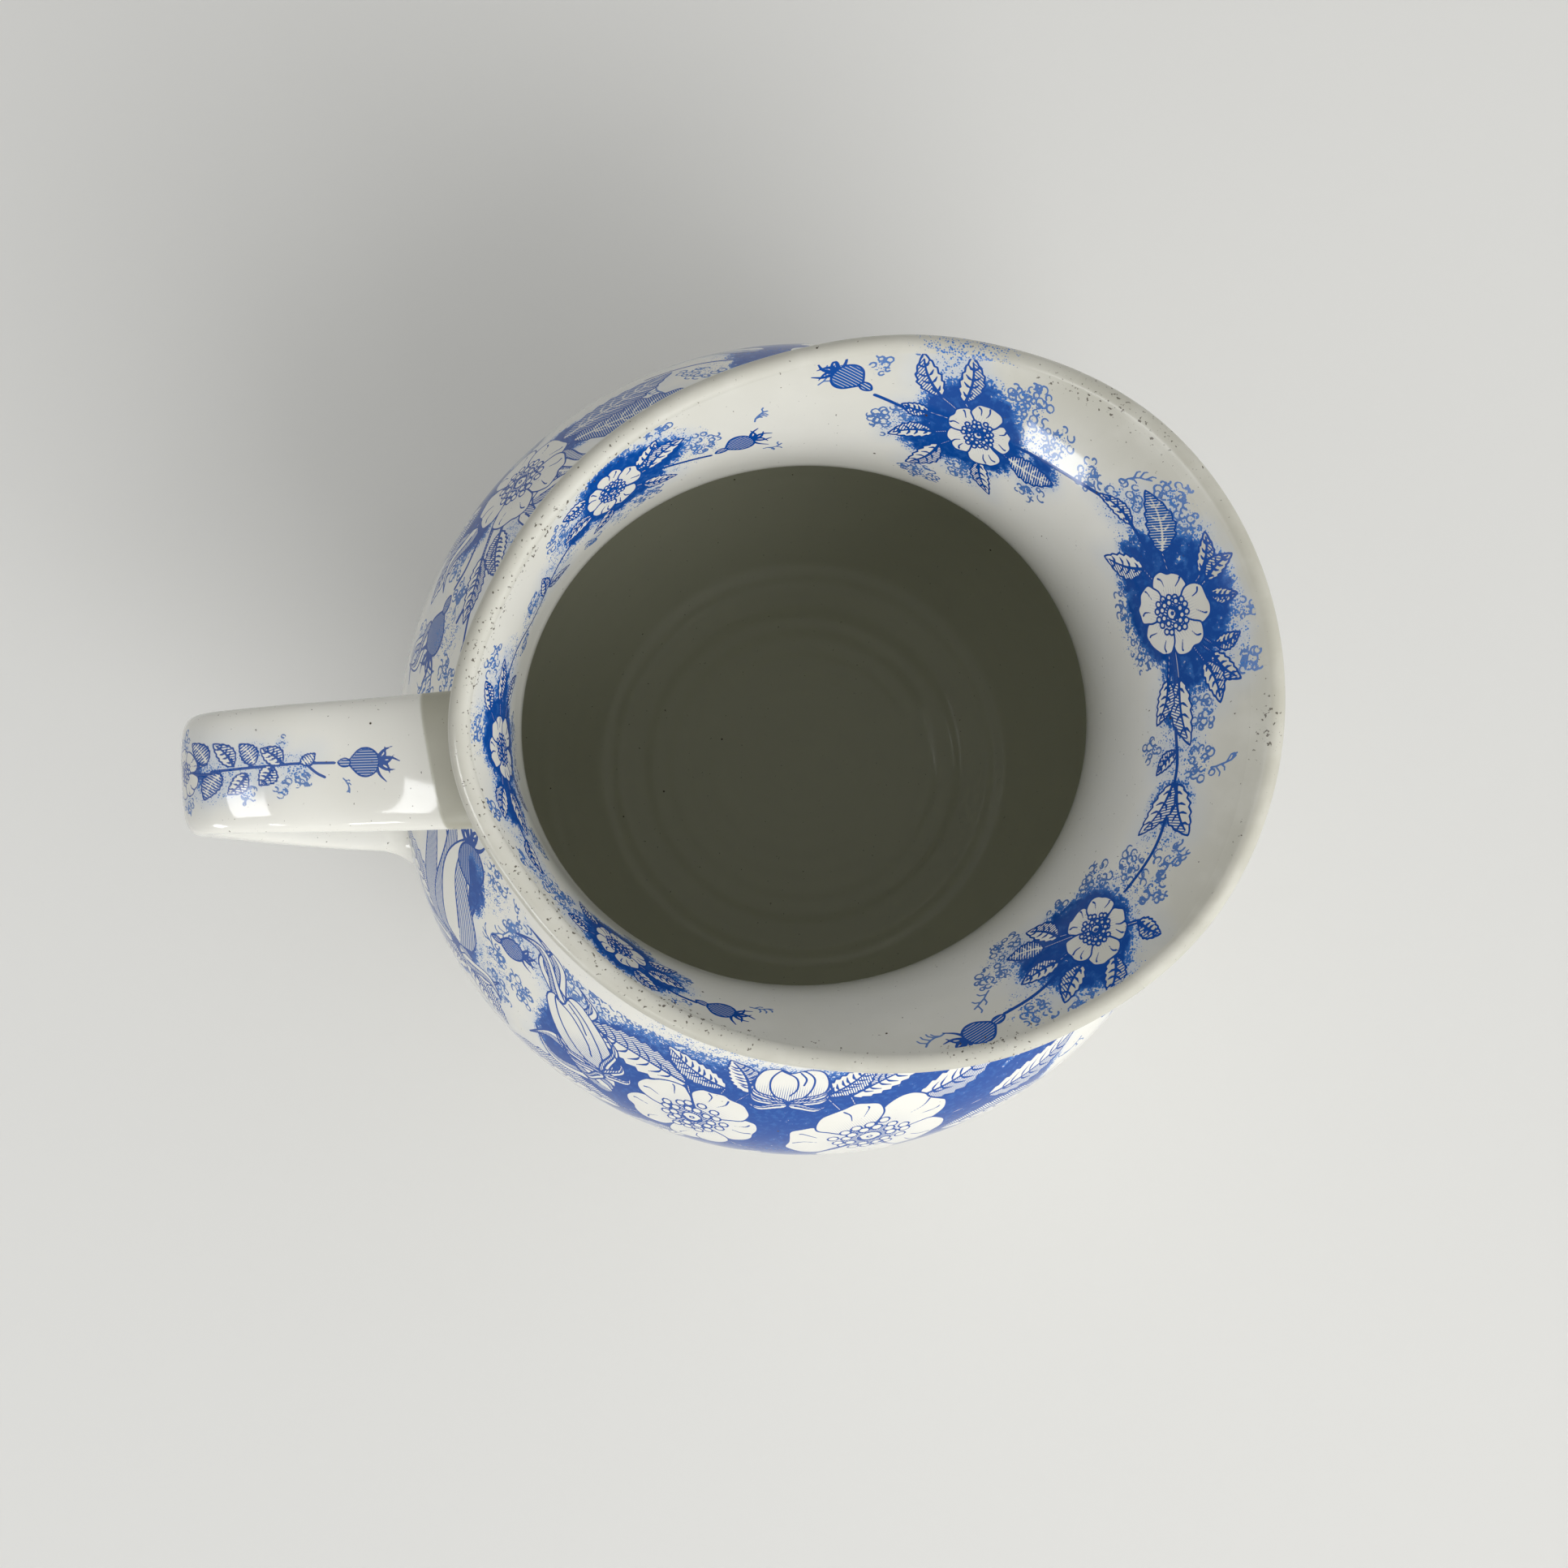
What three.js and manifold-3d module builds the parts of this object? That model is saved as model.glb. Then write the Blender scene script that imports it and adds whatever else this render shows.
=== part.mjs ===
// Wash jug of white earthenware: a round belly on a foot ring, an oval throat that opens into a broad
// pouring lip, and a flat strap handle luted on with slip.
// Millimetres, +Z up. The jug's axis is vertical, the lip points along +X and the handle along -X.
import * as THREE from "three";
import { mergeVertices } from "three/addons/utils/BufferGeometryUtils.js";
import Module from "manifold-3d";

// Wall and seams
const WALL = 5;
const SEAM = 0.3;
const ROUND_SIDES = 64;

// Foot ring and base
const FOOT_RADIUS = 61;
const FOOT_WAIST_RADIUS = 58;
const FOOT_INNER_RADIUS = 50;
const FOOT_HEIGHT = 8;
const FOOT_ROUNDING = 1.5;
const FOOT_TAPER = 1;
const BASE_THICKNESS = 6;

// Belly. Each swell is how far the curve runs straight on from its end before it bends away.
const BELLY_RADIUS = 112;
const BELLY_HEIGHT = 105;
const BASE_SWELL = { out: 36, up: 13 };
const LOWER_SWELL = 43;
const UPPER_SWELL = 31;
const BELLY_ROWS = 10;

// Shoulder, where the neck is luted to the belly. The lean is inward for each millimetre up.
const SHOULDER_RADIUS = 83;
const SHOULDER_HEIGHT = 170;
const SHOULDER_LEAN = 0.62;
const SHOULDER_RUN_BELOW = 20;
const SHOULDER_RUN_ABOVE = 14;

// Throat: the narrowest, oval part of the neck, measured on the outside. It stays upright for a run
// below it and for a share of the rise above it.
const THROAT_LENGTH = 142;
const THROAT_WIDTH = 131;
const THROAT_HEIGHT = 210;
const THROAT_RUN_BELOW = 14;
const THROAT_SHARE_ABOVE = 0.5;
const NECK_ROWS = 8;

// Rim, seen from above: half of its outline by angle from the lip, mirrored for the other half.
// The flare is the lean of the wall at its edge, in degrees from the vertical.
const RIM = [
  { angle: 0, radius: 99, height: 268, flare: 58 },
  { angle: 30, radius: 96.6, height: 262.6, flare: 56 },
  { angle: 60, radius: 87.1, height: 253.4, flare: 48 },
  { angle: 90, radius: 77.4, height: 248.4, flare: 34 },
  { angle: 120, radius: 73.7, height: 247.2, flare: 22 },
  { angle: 150, radius: 73.1, height: 248.5, flare: 18 },
  { angle: 180, radius: 76.4, height: 251, flare: 24 },
];
const LIP_SHARE = 0.4;
const LIP_STEPS = 4;

// Strap handle: its middle line in the XZ plane, from the neck to the belly. It was luted on a little
// askew, turned about the vertical through a point near its upper root.
const HANDLE_ROUTE = [
  [-62, 221],
  [-82, 213.5],
  [-104, 209],
  [-124, 208],
  [-138.5, 203],
  [-145, 190],
  [-144, 170],
  [-137, 149],
  [-126, 131],
  [-113, 118],
  [-97, 109],
];
const HANDLE_SKEW = 3;
const SKEW_PIVOT = -100;
const STRAP_THICKNESS = 10;
const STRAP_ROOT_THICKNESS = 18;
const STRAP_WIDTHS = [32.5, 31.5, 30, 28.5, 29, 32, 36, 39];
const STRAP_ROUNDNESS = 3.4;
const STRAP_STEPS = 40;
const STRAP_SIDES = 20;
const ROOT_LENGTH = 0.17;

// Slip pressed round each root of the handle
const SLIP_BEAD = 3;
const SLIP_REACH = 0.035;
const UPPER_ROOT = 0.04;
const LOWER_ROOT = 0.95;
const SLIP_STEPS = 5;

// Glaze
const GLAZE = 0xdedfda;

const wasm = await Module();
wasm.setup();

const radians = THREE.MathUtils.degToRad;

function glaze() {
  return new THREE.MeshStandardMaterial({ color: GLAZE, roughness: 0.12, metalness: 0 });
}

function named(name, geometry) {
  geometry.computeVertexNormals();
  const mesh = new THREE.Mesh(geometry, glaze());
  mesh.name = name;
  return mesh;
}

// Solids for cutting and joining
function toSolid(geometry) {
  const bare = new THREE.BufferGeometry().setIndex(geometry.index);
  bare.setAttribute("position", geometry.getAttribute("position"));
  const merged = mergeVertices(bare, 1e-4);
  const mesh = new wasm.Mesh({
    numProp: 3,
    vertProperties: new Float32Array(merged.attributes.position.array),
    triVerts: new Uint32Array(merged.index.array),
  });
  return new wasm.Manifold(mesh);
}

function toGeometry(solid) {
  const mesh = solid.getMesh();
  const geometry = new THREE.BufferGeometry();
  geometry.setAttribute("position", new THREE.BufferAttribute(mesh.vertProperties, 3));
  geometry.setIndex(new THREE.BufferAttribute(mesh.triVerts, 1));
  return geometry;
}

// A profile of [radius, height] points turned about the vertical axis
function turned(profile) {
  const points = profile.map(([radius, height]) => new THREE.Vector2(radius, height));
  return new THREE.LatheGeometry(points, ROUND_SIDES).rotateX(Math.PI / 2);
}

// Belly: the outside is two arcs of curve that meet at the widest ring, and the inside follows it
function bellyCurves(offset) {
  const base = new THREE.Vector2(FOOT_WAIST_RADIUS, FOOT_HEIGHT);
  const widest = new THREE.Vector2(BELLY_RADIUS, BELLY_HEIGHT);
  const shoulder = new THREE.Vector2(SHOULDER_RADIUS, SHOULDER_HEIGHT);
  const lower = new THREE.CubicBezierCurve(
    base,
    new THREE.Vector2(FOOT_WAIST_RADIUS + BASE_SWELL.out, FOOT_HEIGHT + BASE_SWELL.up),
    new THREE.Vector2(BELLY_RADIUS, BELLY_HEIGHT - LOWER_SWELL),
    widest,
  );
  const upper = new THREE.CubicBezierCurve(
    widest,
    new THREE.Vector2(BELLY_RADIUS, BELLY_HEIGHT + UPPER_SWELL),
    new THREE.Vector2(
      SHOULDER_RADIUS + SHOULDER_RUN_BELOW * SHOULDER_LEAN,
      SHOULDER_HEIGHT - SHOULDER_RUN_BELOW,
    ),
    shoulder,
  );
  return [lower, upper].map((curve) => (t) => {
    const point = curve.getPoint(t);
    const along = curve.getTangent(t);
    return [point.x - offset * along.y, point.y + offset * along.x];
  });
}

// Even steps of a curve's parameter, from its start to its end
function steps(count, from = 0, to = 1) {
  return Array.from({ length: count + 1 }, (_, i) => from + ((to - from) * i) / count);
}

// The seam at the shoulder takes this share of the curve below it and of the curve above it
const SEAM_BELOW = SEAM / (6 * SHOULDER_RUN_BELOW * Math.hypot(1, SHOULDER_LEAN));
const SEAM_ABOVE = SEAM / (6 * SHOULDER_RUN_ABOVE * Math.hypot(1, SHOULDER_LEAN));

function bellyProfile() {
  const [outerLow, outerHigh] = bellyCurves(0);
  const [innerLow, innerHigh] = bellyCurves(WALL);
  const low = steps(BELLY_ROWS);
  const high = steps(BELLY_ROWS, 0, 1 - SEAM_BELOW).slice(1);
  const floor = FOOT_HEIGHT + BASE_THICKNESS;
  const inner = [...low.map(innerLow), ...high.map(innerHigh)];
  return [
    [0, FOOT_HEIGHT],
    ...low.map(outerLow),
    ...high.map(outerHigh),
    ...inner.filter(([, height]) => height > floor + WALL / 4).reverse(),
    [FOOT_INNER_RADIUS, floor],
    [0, floor],
  ];
}

// Foot ring: a turned ring with a flat rest face and rounded edges
function footProfile() {
  const top = FOOT_HEIGHT - SEAM;
  const middle = (FOOT_RADIUS + FOOT_INNER_RADIUS) / 2;
  return [
    [middle, 0],
    [FOOT_RADIUS - FOOT_ROUNDING, 0],
    [FOOT_RADIUS, FOOT_ROUNDING],
    [FOOT_RADIUS - FOOT_TAPER / 2, 2 * FOOT_ROUNDING],
    [FOOT_WAIST_RADIUS, top],
    [FOOT_INNER_RADIUS + FOOT_TAPER, top],
    [FOOT_INNER_RADIUS, FOOT_ROUNDING],
    [FOOT_INNER_RADIUS + FOOT_ROUNDING, 0],
    [middle, 0],
  ];
}

// A value of the rim at any angle, smooth between the stations and symmetric about the lip
function rimValue(key, angle) {
  const values = RIM.map((station) => station[key]);
  const mirrored = [values[1], ...values, values[values.length - 2]];
  const spacing = radians(RIM[1].angle);
  const place = Math.abs(angle) / spacing;
  const i = Math.min(Math.floor(place), values.length - 2);
  const [a, b, c, d] = mirrored.slice(i, i + 4);
  const t = place - i;
  const bend = 2 * a - 5 * b + 4 * c - d;
  return 0.5 * (2 * b + (c - a) * t + bend * t * t + (3 * b - a - 3 * c + d) * t * t * t);
}

// Radius of the oval throat at an angle, on the outside
function throatRadius(angle) {
  const x = Math.cos(angle) / (THROAT_LENGTH / 2);
  const y = Math.sin(angle) / (THROAT_WIDTH / 2);
  return 1 / Math.hypot(x, y);
}

// The middle of the neck's wall in the plane at an angle: shoulder to throat, then throat to rim
function neckCurves(angle) {
  const half = WALL / 2;
  const lean = Math.hypot(1, SHOULDER_LEAN);
  const foot = new THREE.Vector2(
    SHOULDER_RADIUS - half / lean,
    SHOULDER_HEIGHT - (half * SHOULDER_LEAN) / lean,
  );
  const throat = new THREE.Vector2(throatRadius(angle) - half, THROAT_HEIGHT);
  const flare = radians(rimValue("flare", angle));
  const edge = new THREE.Vector2(rimValue("radius", angle) - half, rimValue("height", angle) - half);
  const rise = edge.y - throat.y;
  const shoulderRun = new THREE.Vector2(-SHOULDER_LEAN, 1).multiplyScalar(SHOULDER_RUN_ABOVE);
  const lipRun = new THREE.Vector2(Math.sin(flare), Math.cos(flare)).multiplyScalar(LIP_SHARE * rise);
  return [
    new THREE.CubicBezierCurve(
      foot,
      foot.clone().add(shoulderRun),
      new THREE.Vector2(throat.x, throat.y - THROAT_RUN_BELOW),
      throat,
    ),
    new THREE.CubicBezierCurve(
      throat,
      new THREE.Vector2(throat.x, throat.y + THROAT_SHARE_ABOVE * rise),
      edge.clone().sub(lipRun),
      edge,
    ),
  ];
}

// A point of the neck's wall: climb runs 0 at the shoulder, 1 at the throat and 2 at the rim, and
// across is the distance outward from the middle of the wall
function neckPoint(angle, climb, across) {
  const curve = neckCurves(angle)[climb < 1 ? 0 : 1];
  const t = climb < 1 ? climb : climb - 1;
  const point = curve.getPoint(t);
  const along = curve.getTangent(t);
  return [point.x + across * along.y, point.y - across * along.x];
}

// The neck's wall at one place of its section, as a function of the angle. Past the edge, the section
// runs on round the lip.
function neckRow(climb, across, past = 0) {
  return (angle) => {
    const [radius, height] = neckPoint(angle, climb, across);
    const flare = radians(rimValue("flare", angle));
    return [radius + past * Math.sin(flare), height + past * Math.cos(flare)];
  };
}

// Rows of a section turned about the axis, each a function of the angle that gives [radius, height]
function shaped(rows) {
  const form = turned(rows.map((row, i) => [row(0)[0], i]));
  const positions = form.getAttribute("position");
  for (let i = 0; i < positions.count; i++) {
    const angle = Math.atan2(positions.getY(i), positions.getX(i));
    const [radius, height] = rows[i % rows.length](angle);
    positions.setXYZ(i, radius * Math.cos(angle), radius * Math.sin(angle), height);
  }
  return form;
}

// The neck's section runs up the outside, over the lip and down the inside
function neckGeometry() {
  const half = WALL / 2;
  const climbs = [SEAM_ABOVE, ...steps(2 * NECK_ROWS, 0, 2).slice(1)];
  const lip = steps(LIP_STEPS, 0, Math.PI).slice(1, -1);
  const section = [
    ...climbs.map((climb) => neckRow(climb, half)),
    ...lip.map((turn) => neckRow(2, half * Math.cos(turn), half * Math.sin(turn))),
    ...climbs.map((climb) => neckRow(climb, -half)).reverse(),
  ];
  return shaped([...section, section[0]]);
}

// The jug's outside as one filled solid, grown outward, to fit the handle against
function filledBody(grow) {
  const [lower, upper] = bellyCurves(-grow);
  const belly = [...steps(BELLY_ROWS).map(lower), ...steps(BELLY_ROWS).slice(1, -1).map(upper)];
  const neck = steps(2 * NECK_ROWS, 0, 2).map((climb) => neckRow(climb, WALL / 2 + grow));
  const axis = (height) => () => [0, height];
  return toSolid(
    shaped([axis(FOOT_HEIGHT), ...belly.map((point) => () => point), ...neck, axis(THROAT_HEIGHT)]),
  );
}

// A smooth value through evenly spaced ones
function blended(values, t) {
  const curve = new THREE.SplineCurve(values.map((value, i) => new THREE.Vector2(i, value)));
  return curve.getPoint(t).y;
}

// The strap's section, one unit to each side: flat faces with rounded edges
function strapOutline() {
  const power = 2 / STRAP_ROUNDNESS;
  const rounded = (value) => Math.sign(value) * Math.abs(value) ** power;
  const turns = steps(STRAP_SIDES, 0, 2 * Math.PI).slice(1);
  return turns.map((turn) => new THREE.Vector2(rounded(Math.cos(turn)), rounded(Math.sin(turn))));
}

// The strap from one place on its route to another: the section drawn straight, bent onto the route,
// widened towards its roots and grown by a margin that may change along it
function strap(from, to, count, grow) {
  const route = new THREE.CatmullRomCurve3(HANDLE_ROUTE.map(([x, z]) => new THREE.Vector3(x, 0, z)));
  const outline = new THREE.Shape(strapOutline());
  const form = new THREE.ExtrudeGeometry(outline, { depth: 1, steps: count, bevelEnabled: false });
  const positions = form.getAttribute("position");
  for (let i = 0; i < positions.count; i++) {
    const share = positions.getZ(i);
    const place = from + (to - from) * share;
    const middle = route.getPointAt(place);
    const along = route.getTangentAt(place);
    const root = Math.max(0, 1 - Math.min(place, 1 - place) / ROOT_LENGTH) ** 2;
    const thickness = THREE.MathUtils.lerp(STRAP_THICKNESS, STRAP_ROOT_THICKNESS, root);
    const side = -positions.getX(i) * (blended(STRAP_WIDTHS, place) / 2 + grow(share));
    const crown = positions.getY(i) * (thickness / 2 + grow(share));
    positions.setXYZ(i, middle.x + crown * along.z, side, middle.z - crown * along.x);
  }
  form.translate(-SKEW_PIVOT, 0, 0).rotateZ(-radians(HANDLE_SKEW)).translate(SKEW_PIVOT, 0, 0);
  return toSolid(form);
}

// Slip bead round a root: a short collar over one stretch of the strap, thick at its wall end and
// dying away along the strap
function slipBead(from, to, wallEnd, body) {
  const swell = (share) => SLIP_BEAD * (1 - Math.abs(share - wallEnd)) ** 2 + 2 * SEAM;
  const collar = strap(from, to, SLIP_STEPS, swell);
  const passage = strap(0, 1, STRAP_STEPS, () => SEAM);
  return toGeometry(collar.subtract(passage).subtract(body));
}

const body = filledBody(SEAM);
const handle = strap(0, 1, STRAP_STEPS, () => 0).subtract(body);

const jug = new THREE.Group();
jug.add(named("foot_ring", turned(footProfile())));
jug.add(named("belly", turned(bellyProfile())));
jug.add(named("neck_and_lip", neckGeometry()));
jug.add(named("handle", toGeometry(handle)));
jug.add(named("upper_slip_bead", slipBead(UPPER_ROOT, UPPER_ROOT + SLIP_REACH, 0, body)));
jug.add(named("lower_slip_bead", slipBead(LOWER_ROOT - SLIP_REACH, LOWER_ROOT, 1, body)));

// The part's origin is the middle of its box at the table
jug.updateMatrixWorld(true);
const box = new THREE.Box3().setFromObject(jug);
jug.position.x = -(box.min.x + box.max.x) / 2;
jug.position.y = -(box.min.y + box.max.y) / 2;

export default jug;
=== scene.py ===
"""A glazed earthenware wash jug with a blue underglaze rose print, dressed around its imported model.

Sizes are in millimetres and angles in degrees unless a comment says otherwise. Meshes are made in
metres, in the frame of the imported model.
"""

import itertools
import math

import bpy
import numpy as np
from mathutils import Matrix, Vector


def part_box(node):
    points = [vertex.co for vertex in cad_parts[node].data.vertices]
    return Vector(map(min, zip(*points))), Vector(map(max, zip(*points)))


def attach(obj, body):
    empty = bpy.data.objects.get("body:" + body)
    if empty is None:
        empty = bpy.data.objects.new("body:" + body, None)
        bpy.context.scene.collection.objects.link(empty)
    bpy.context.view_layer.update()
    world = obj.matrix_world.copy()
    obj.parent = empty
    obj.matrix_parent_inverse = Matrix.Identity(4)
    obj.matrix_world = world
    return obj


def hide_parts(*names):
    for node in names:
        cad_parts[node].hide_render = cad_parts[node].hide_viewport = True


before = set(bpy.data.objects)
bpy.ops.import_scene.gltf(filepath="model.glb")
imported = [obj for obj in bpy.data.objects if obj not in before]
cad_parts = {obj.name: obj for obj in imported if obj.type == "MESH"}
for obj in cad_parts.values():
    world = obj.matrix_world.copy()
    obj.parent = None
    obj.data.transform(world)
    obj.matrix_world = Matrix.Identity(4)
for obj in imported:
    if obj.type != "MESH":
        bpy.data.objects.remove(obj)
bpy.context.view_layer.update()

MM = 0.001


def node_box(name):
    """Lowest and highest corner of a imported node, in millimetres."""
    low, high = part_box(name)
    return np.array(low) / MM, np.array(high) / MM


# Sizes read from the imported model
belly_low, belly_high = node_box("belly")
foot_low, foot_high = node_box("foot_ring")
AXIS_X = (belly_low[0] + belly_high[0]) / 2
BELLY_RADIUS = (belly_high[1] - belly_low[1]) / 2
FOOT_RADIUS = (foot_high[1] - foot_low[1]) / 2

# Clay
WALL = 5
HALF_WALL = WALL / 2
FOOT_WAIST_RADIUS = 58
FOOT_INNER_RADIUS = 50
FOOT_HEIGHT = 8
FLOOR_HEIGHT = 14
FLOOR_CORNER = 9
BELLY_HEIGHT = 105
BASE_SWELL = (36, 13)
LOWER_SWELL = 43
UPPER_SWELL = 31
SHOULDER_RADIUS = 83
SHOULDER_HEIGHT = 170
SHOULDER_LEAN = 0.62
SHOULDER_RUN_BELOW = 20
SHOULDER_RUN_ABOVE = 14
THROAT_LENGTH = 142
THROAT_WIDTH = 131
THROAT_HEIGHT = 210
THROAT_RUN_BELOW = 14
THROAT_SHARE_ABOVE = 0.5
LIP_SHARE = 0.4

# The rim every 30 degrees from the middle of the lip round to the handle
RIM_SPACING = 30
RIM_RADIUS = (99, 96.6, 87.1, 77.4, 73.7, 73.1, 76.4)
RIM_HEIGHT = (268, 262.6, 253.4, 248.4, 247.2, 248.5, 251)
RIM_FLARE = (58, 56, 48, 34, 22, 18, 24)

# The strap handle: its route in the plane y = 0, from the neck to the belly
HANDLE_ROUTE = (
    (-62, 221),
    (-82, 213.5),
    (-104, 209),
    (-124, 208),
    (-138.5, 203),
    (-145, 190),
    (-144, 170),
    (-137, 149),
    (-126, 131),
    (-113, 118),
    (-97, 109),
)
HANDLE_SKEW = 3
SKEW_PIVOT = -100
STRAP_THICKNESS = 10
STRAP_ROOT_THICKNESS = 18
STRAP_WIDTHS = (32.5, 31.5, 30, 28.5, 29, 32, 36, 39)
STRAP_ROUNDNESS = 3.4
ROOT_LENGTH = 0.17

# Camera, fitted to the photograph: its place is from the jug's axis, along the picture's right and up
PICTURE = 1932
FOCAL = 2700
NADIR = (985, 1077.5)
CAMERA_PLACE = (-1.04, -35, 716)
JUG_TURN = 5.5
SENSOR = 36


def bezier(points, t):
    """Points of a cubic curve at t, an array that broadcasts against the control points."""
    a, b, c, d = points
    s = 1 - t
    return s**3 * a + 3 * s * s * t * b + 3 * s * t * t * c + t**3 * d


def bezier_tangent(points, t):
    """Unit tangents of a cubic curve at t."""
    a, b, c, d = points
    s = 1 - t
    along = s * s * (b - a) + 2 * s * t * (c - b) + t * t * (d - c)
    return along / np.linalg.norm(along, axis=-1, keepdims=True)


def beside(points, t, across):
    """Points of a cubic curve moved across to its right hand side."""
    along = bezier_tangent(points, t)
    return bezier(points, t) + across * np.stack([along[..., 1], -along[..., 0]], -1)


def belly_curves():
    """The outside of the belly: foot to widest place, and widest place to shoulder."""
    base = np.array([FOOT_WAIST_RADIUS, FOOT_HEIGHT], float)
    widest = np.array([BELLY_RADIUS, BELLY_HEIGHT])
    shoulder = np.array([SHOULDER_RADIUS, SHOULDER_HEIGHT], float)
    run = SHOULDER_RUN_BELOW
    lower = (base, base + BASE_SWELL, widest - (0, LOWER_SWELL), widest)
    upper = (widest, widest + (0, UPPER_SWELL), shoulder + (run * SHOULDER_LEAN, -run), shoulder)
    return lower, upper


def distances(points):
    """How far along a polyline each of its points is."""
    return np.r_[0, np.cumsum(np.linalg.norm(np.diff(points, axis=0), axis=1))]


def blend(a, b, c, d, t):
    """The smooth curve through a, b, c and d, between b and c at t from 0 to 1."""
    bend = 2 * a - 5 * b + 4 * c - d
    return 0.5 * (2 * b + (c - a) * t + bend * t**2 + (3 * b - a - 3 * c + d) * t**3)


def smooth_values(padded, position):
    """Evenly spaced values blended smoothly at positions. padded has one value more at each end."""
    i = np.minimum(position.astype(int), len(padded) - 4)
    return blend(*(padded[i + k] for k in range(4)), position - i)


def rim_value(values, angle):
    """A value of the rim at angles in radians, smooth between the stations and symmetric."""
    mirrored = np.array([values[1], *values, values[-2]], float)
    off = np.abs((angle + np.pi) % (2 * np.pi) - np.pi)
    return smooth_values(mirrored, off / math.radians(RIM_SPACING))


def neck_curves(angle):
    """The middle of the neck's wall at each angle: shoulder to throat, and throat to rim."""
    lean = math.hypot(1, SHOULDER_LEAN)
    foot = np.array([SHOULDER_RADIUS - HALF_WALL / lean, SHOULDER_HEIGHT - HALF_WALL * SHOULDER_LEAN / lean])
    outside = 1 / np.hypot(np.cos(angle) / (THROAT_LENGTH / 2), np.sin(angle) / (THROAT_WIDTH / 2))
    throat = np.stack([outside - HALF_WALL, np.full_like(angle, THROAT_HEIGHT)], -1)
    flare = np.radians(rim_value(RIM_FLARE, angle))
    edge = np.stack([rim_value(RIM_RADIUS, angle), rim_value(RIM_HEIGHT, angle)], -1) - HALF_WALL
    rise = edge[..., 1:] - throat[..., 1:]
    shoulder_run = SHOULDER_RUN_ABOVE * np.array([-SHOULDER_LEAN, 1])
    up = np.array([0.0, 1.0])
    lip_run = LIP_SHARE * rise * np.stack([np.sin(flare), np.cos(flare)], -1)
    lower = (foot, foot + shoulder_run, throat - THROAT_RUN_BELOW * up, throat)
    upper = (throat, throat + THROAT_SHARE_ABOVE * rise * up, edge - lip_run, edge)
    return lower, upper


def angles(columns):
    """The angles of a row of vertices, in radians."""
    return np.arange(columns) * 2 * np.pi / columns


def even_steps(points, count):
    """A polyline of [radius, height] resampled to count points at even distances."""
    points = np.asarray(points, float)
    reach = distances(points)
    places = np.linspace(0, reach[-1], count)
    return np.stack([np.interp(places, reach, points[:, k]) for k in range(2)], -1)


def round_band(points, columns):
    """A band of revolution: rows of [radius, height], the same at every angle."""
    return np.repeat(np.asarray(points, float)[:, None, :], columns, axis=1)


# How finely each stretch of the body is meshed, and the height at which its printed stretch ends
PLAIN_COLUMNS = 512
NECK_COLUMNS = 1024
PRINT_COLUMNS = 2048
INSIDE_ROWS = 200
LOWER_NECK_ROWS = 40
NECK_ROWS = 240
LIP_ROWS = 22
NECK_OUTSIDE_ROWS = 80
PRINT_ROWS = 330
PLAIN_ROWS = 60
FOOT_ROWS = 70
FINE = 120
PRINT_BOTTOM = 48

# Where the neck's stretches begin and end, as climbs: 0 at the shoulder, 1 at the throat, 2 at the rim
NECK_START = 0.03
LOWER_NECK_TOP = 0.9
PRINTED_NECK = (0.92, 1.99)
NECK_OUTSIDE_TOP = 1.98


def corner(middle, radius, start, end, count):
    """An arc of [radius, height] points about a middle, between two directions in degrees."""
    turns = np.radians(np.linspace(start, end, count))
    return np.stack([middle[0] + radius * np.cos(turns), middle[1] + radius * np.sin(turns)], -1)


def inner_belly_points():
    """The inside from the middle of the floor up the wall to the shoulder."""
    lower, upper = belly_curves()
    t = np.linspace(0, 1, FINE)[:, None]
    wall = np.vstack([beside(lower, t, -WALL), beside(upper, t, -WALL)[1:]])
    wall = wall[wall[:, 1] > FLOOR_HEIGHT + FLOOR_CORNER / 3]
    floor = np.array([[r, FLOOR_HEIGHT] for r in np.linspace(1, wall[0, 0] - FLOOR_CORNER, FINE)])
    return np.vstack([floor, wall])


def outer_belly_points():
    """The outside from the shoulder down to the foot."""
    lower, upper = belly_curves()
    t = np.linspace(1, 0, FINE)[:, None]
    return np.vstack([bezier(upper, t), bezier(lower, t)[1:]])


FOOT_CORNER = 1.5
RECESS_CORNER = 2


def foot_points():
    """The foot ring down its outside, across its rest face and up inside it, then under the base."""
    outer, inner = FOOT_RADIUS - FOOT_CORNER, FOOT_INNER_RADIUS + FOOT_CORNER
    recess = (FOOT_INNER_RADIUS - RECESS_CORNER, FOOT_HEIGHT - RECESS_CORNER)
    waist = [[FOOT_WAIST_RADIUS + 0.3, FOOT_HEIGHT - 0.8], [FOOT_WAIST_RADIUS + 1.4, 5]]
    outside = corner((outer, FOOT_CORNER), FOOT_CORNER, 0, -90, 6)
    inside = corner((inner, FOOT_CORNER), FOOT_CORNER, -90, -180, 6)
    under = corner(recess, RECESS_CORNER, 0, 90, 6)
    return np.vstack([waist, outside, inside, under, [[1, FOOT_HEIGHT]]])


def smooth_line(points, passes):
    """A polyline with its corners cut a little."""
    for _ in range(passes):
        inner = 0.25 * points[:-2] + 0.5 * points[1:-1] + 0.25 * points[2:]
        points = np.vstack([points[:1], inner, points[-1:]])
    return points


# Throwing rings inside the body: shallow grooves left by the fingers. Their spacing drifts a little,
# and they fade out at the middle of the floor and towards the shoulder.
RING_DEPTH = 0.07
RING_SPACING = 6.5
RING_DRIFT = 1.3
RING_DRIFT_LENGTH = 17
RING_FADES = (12, 30)


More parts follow.
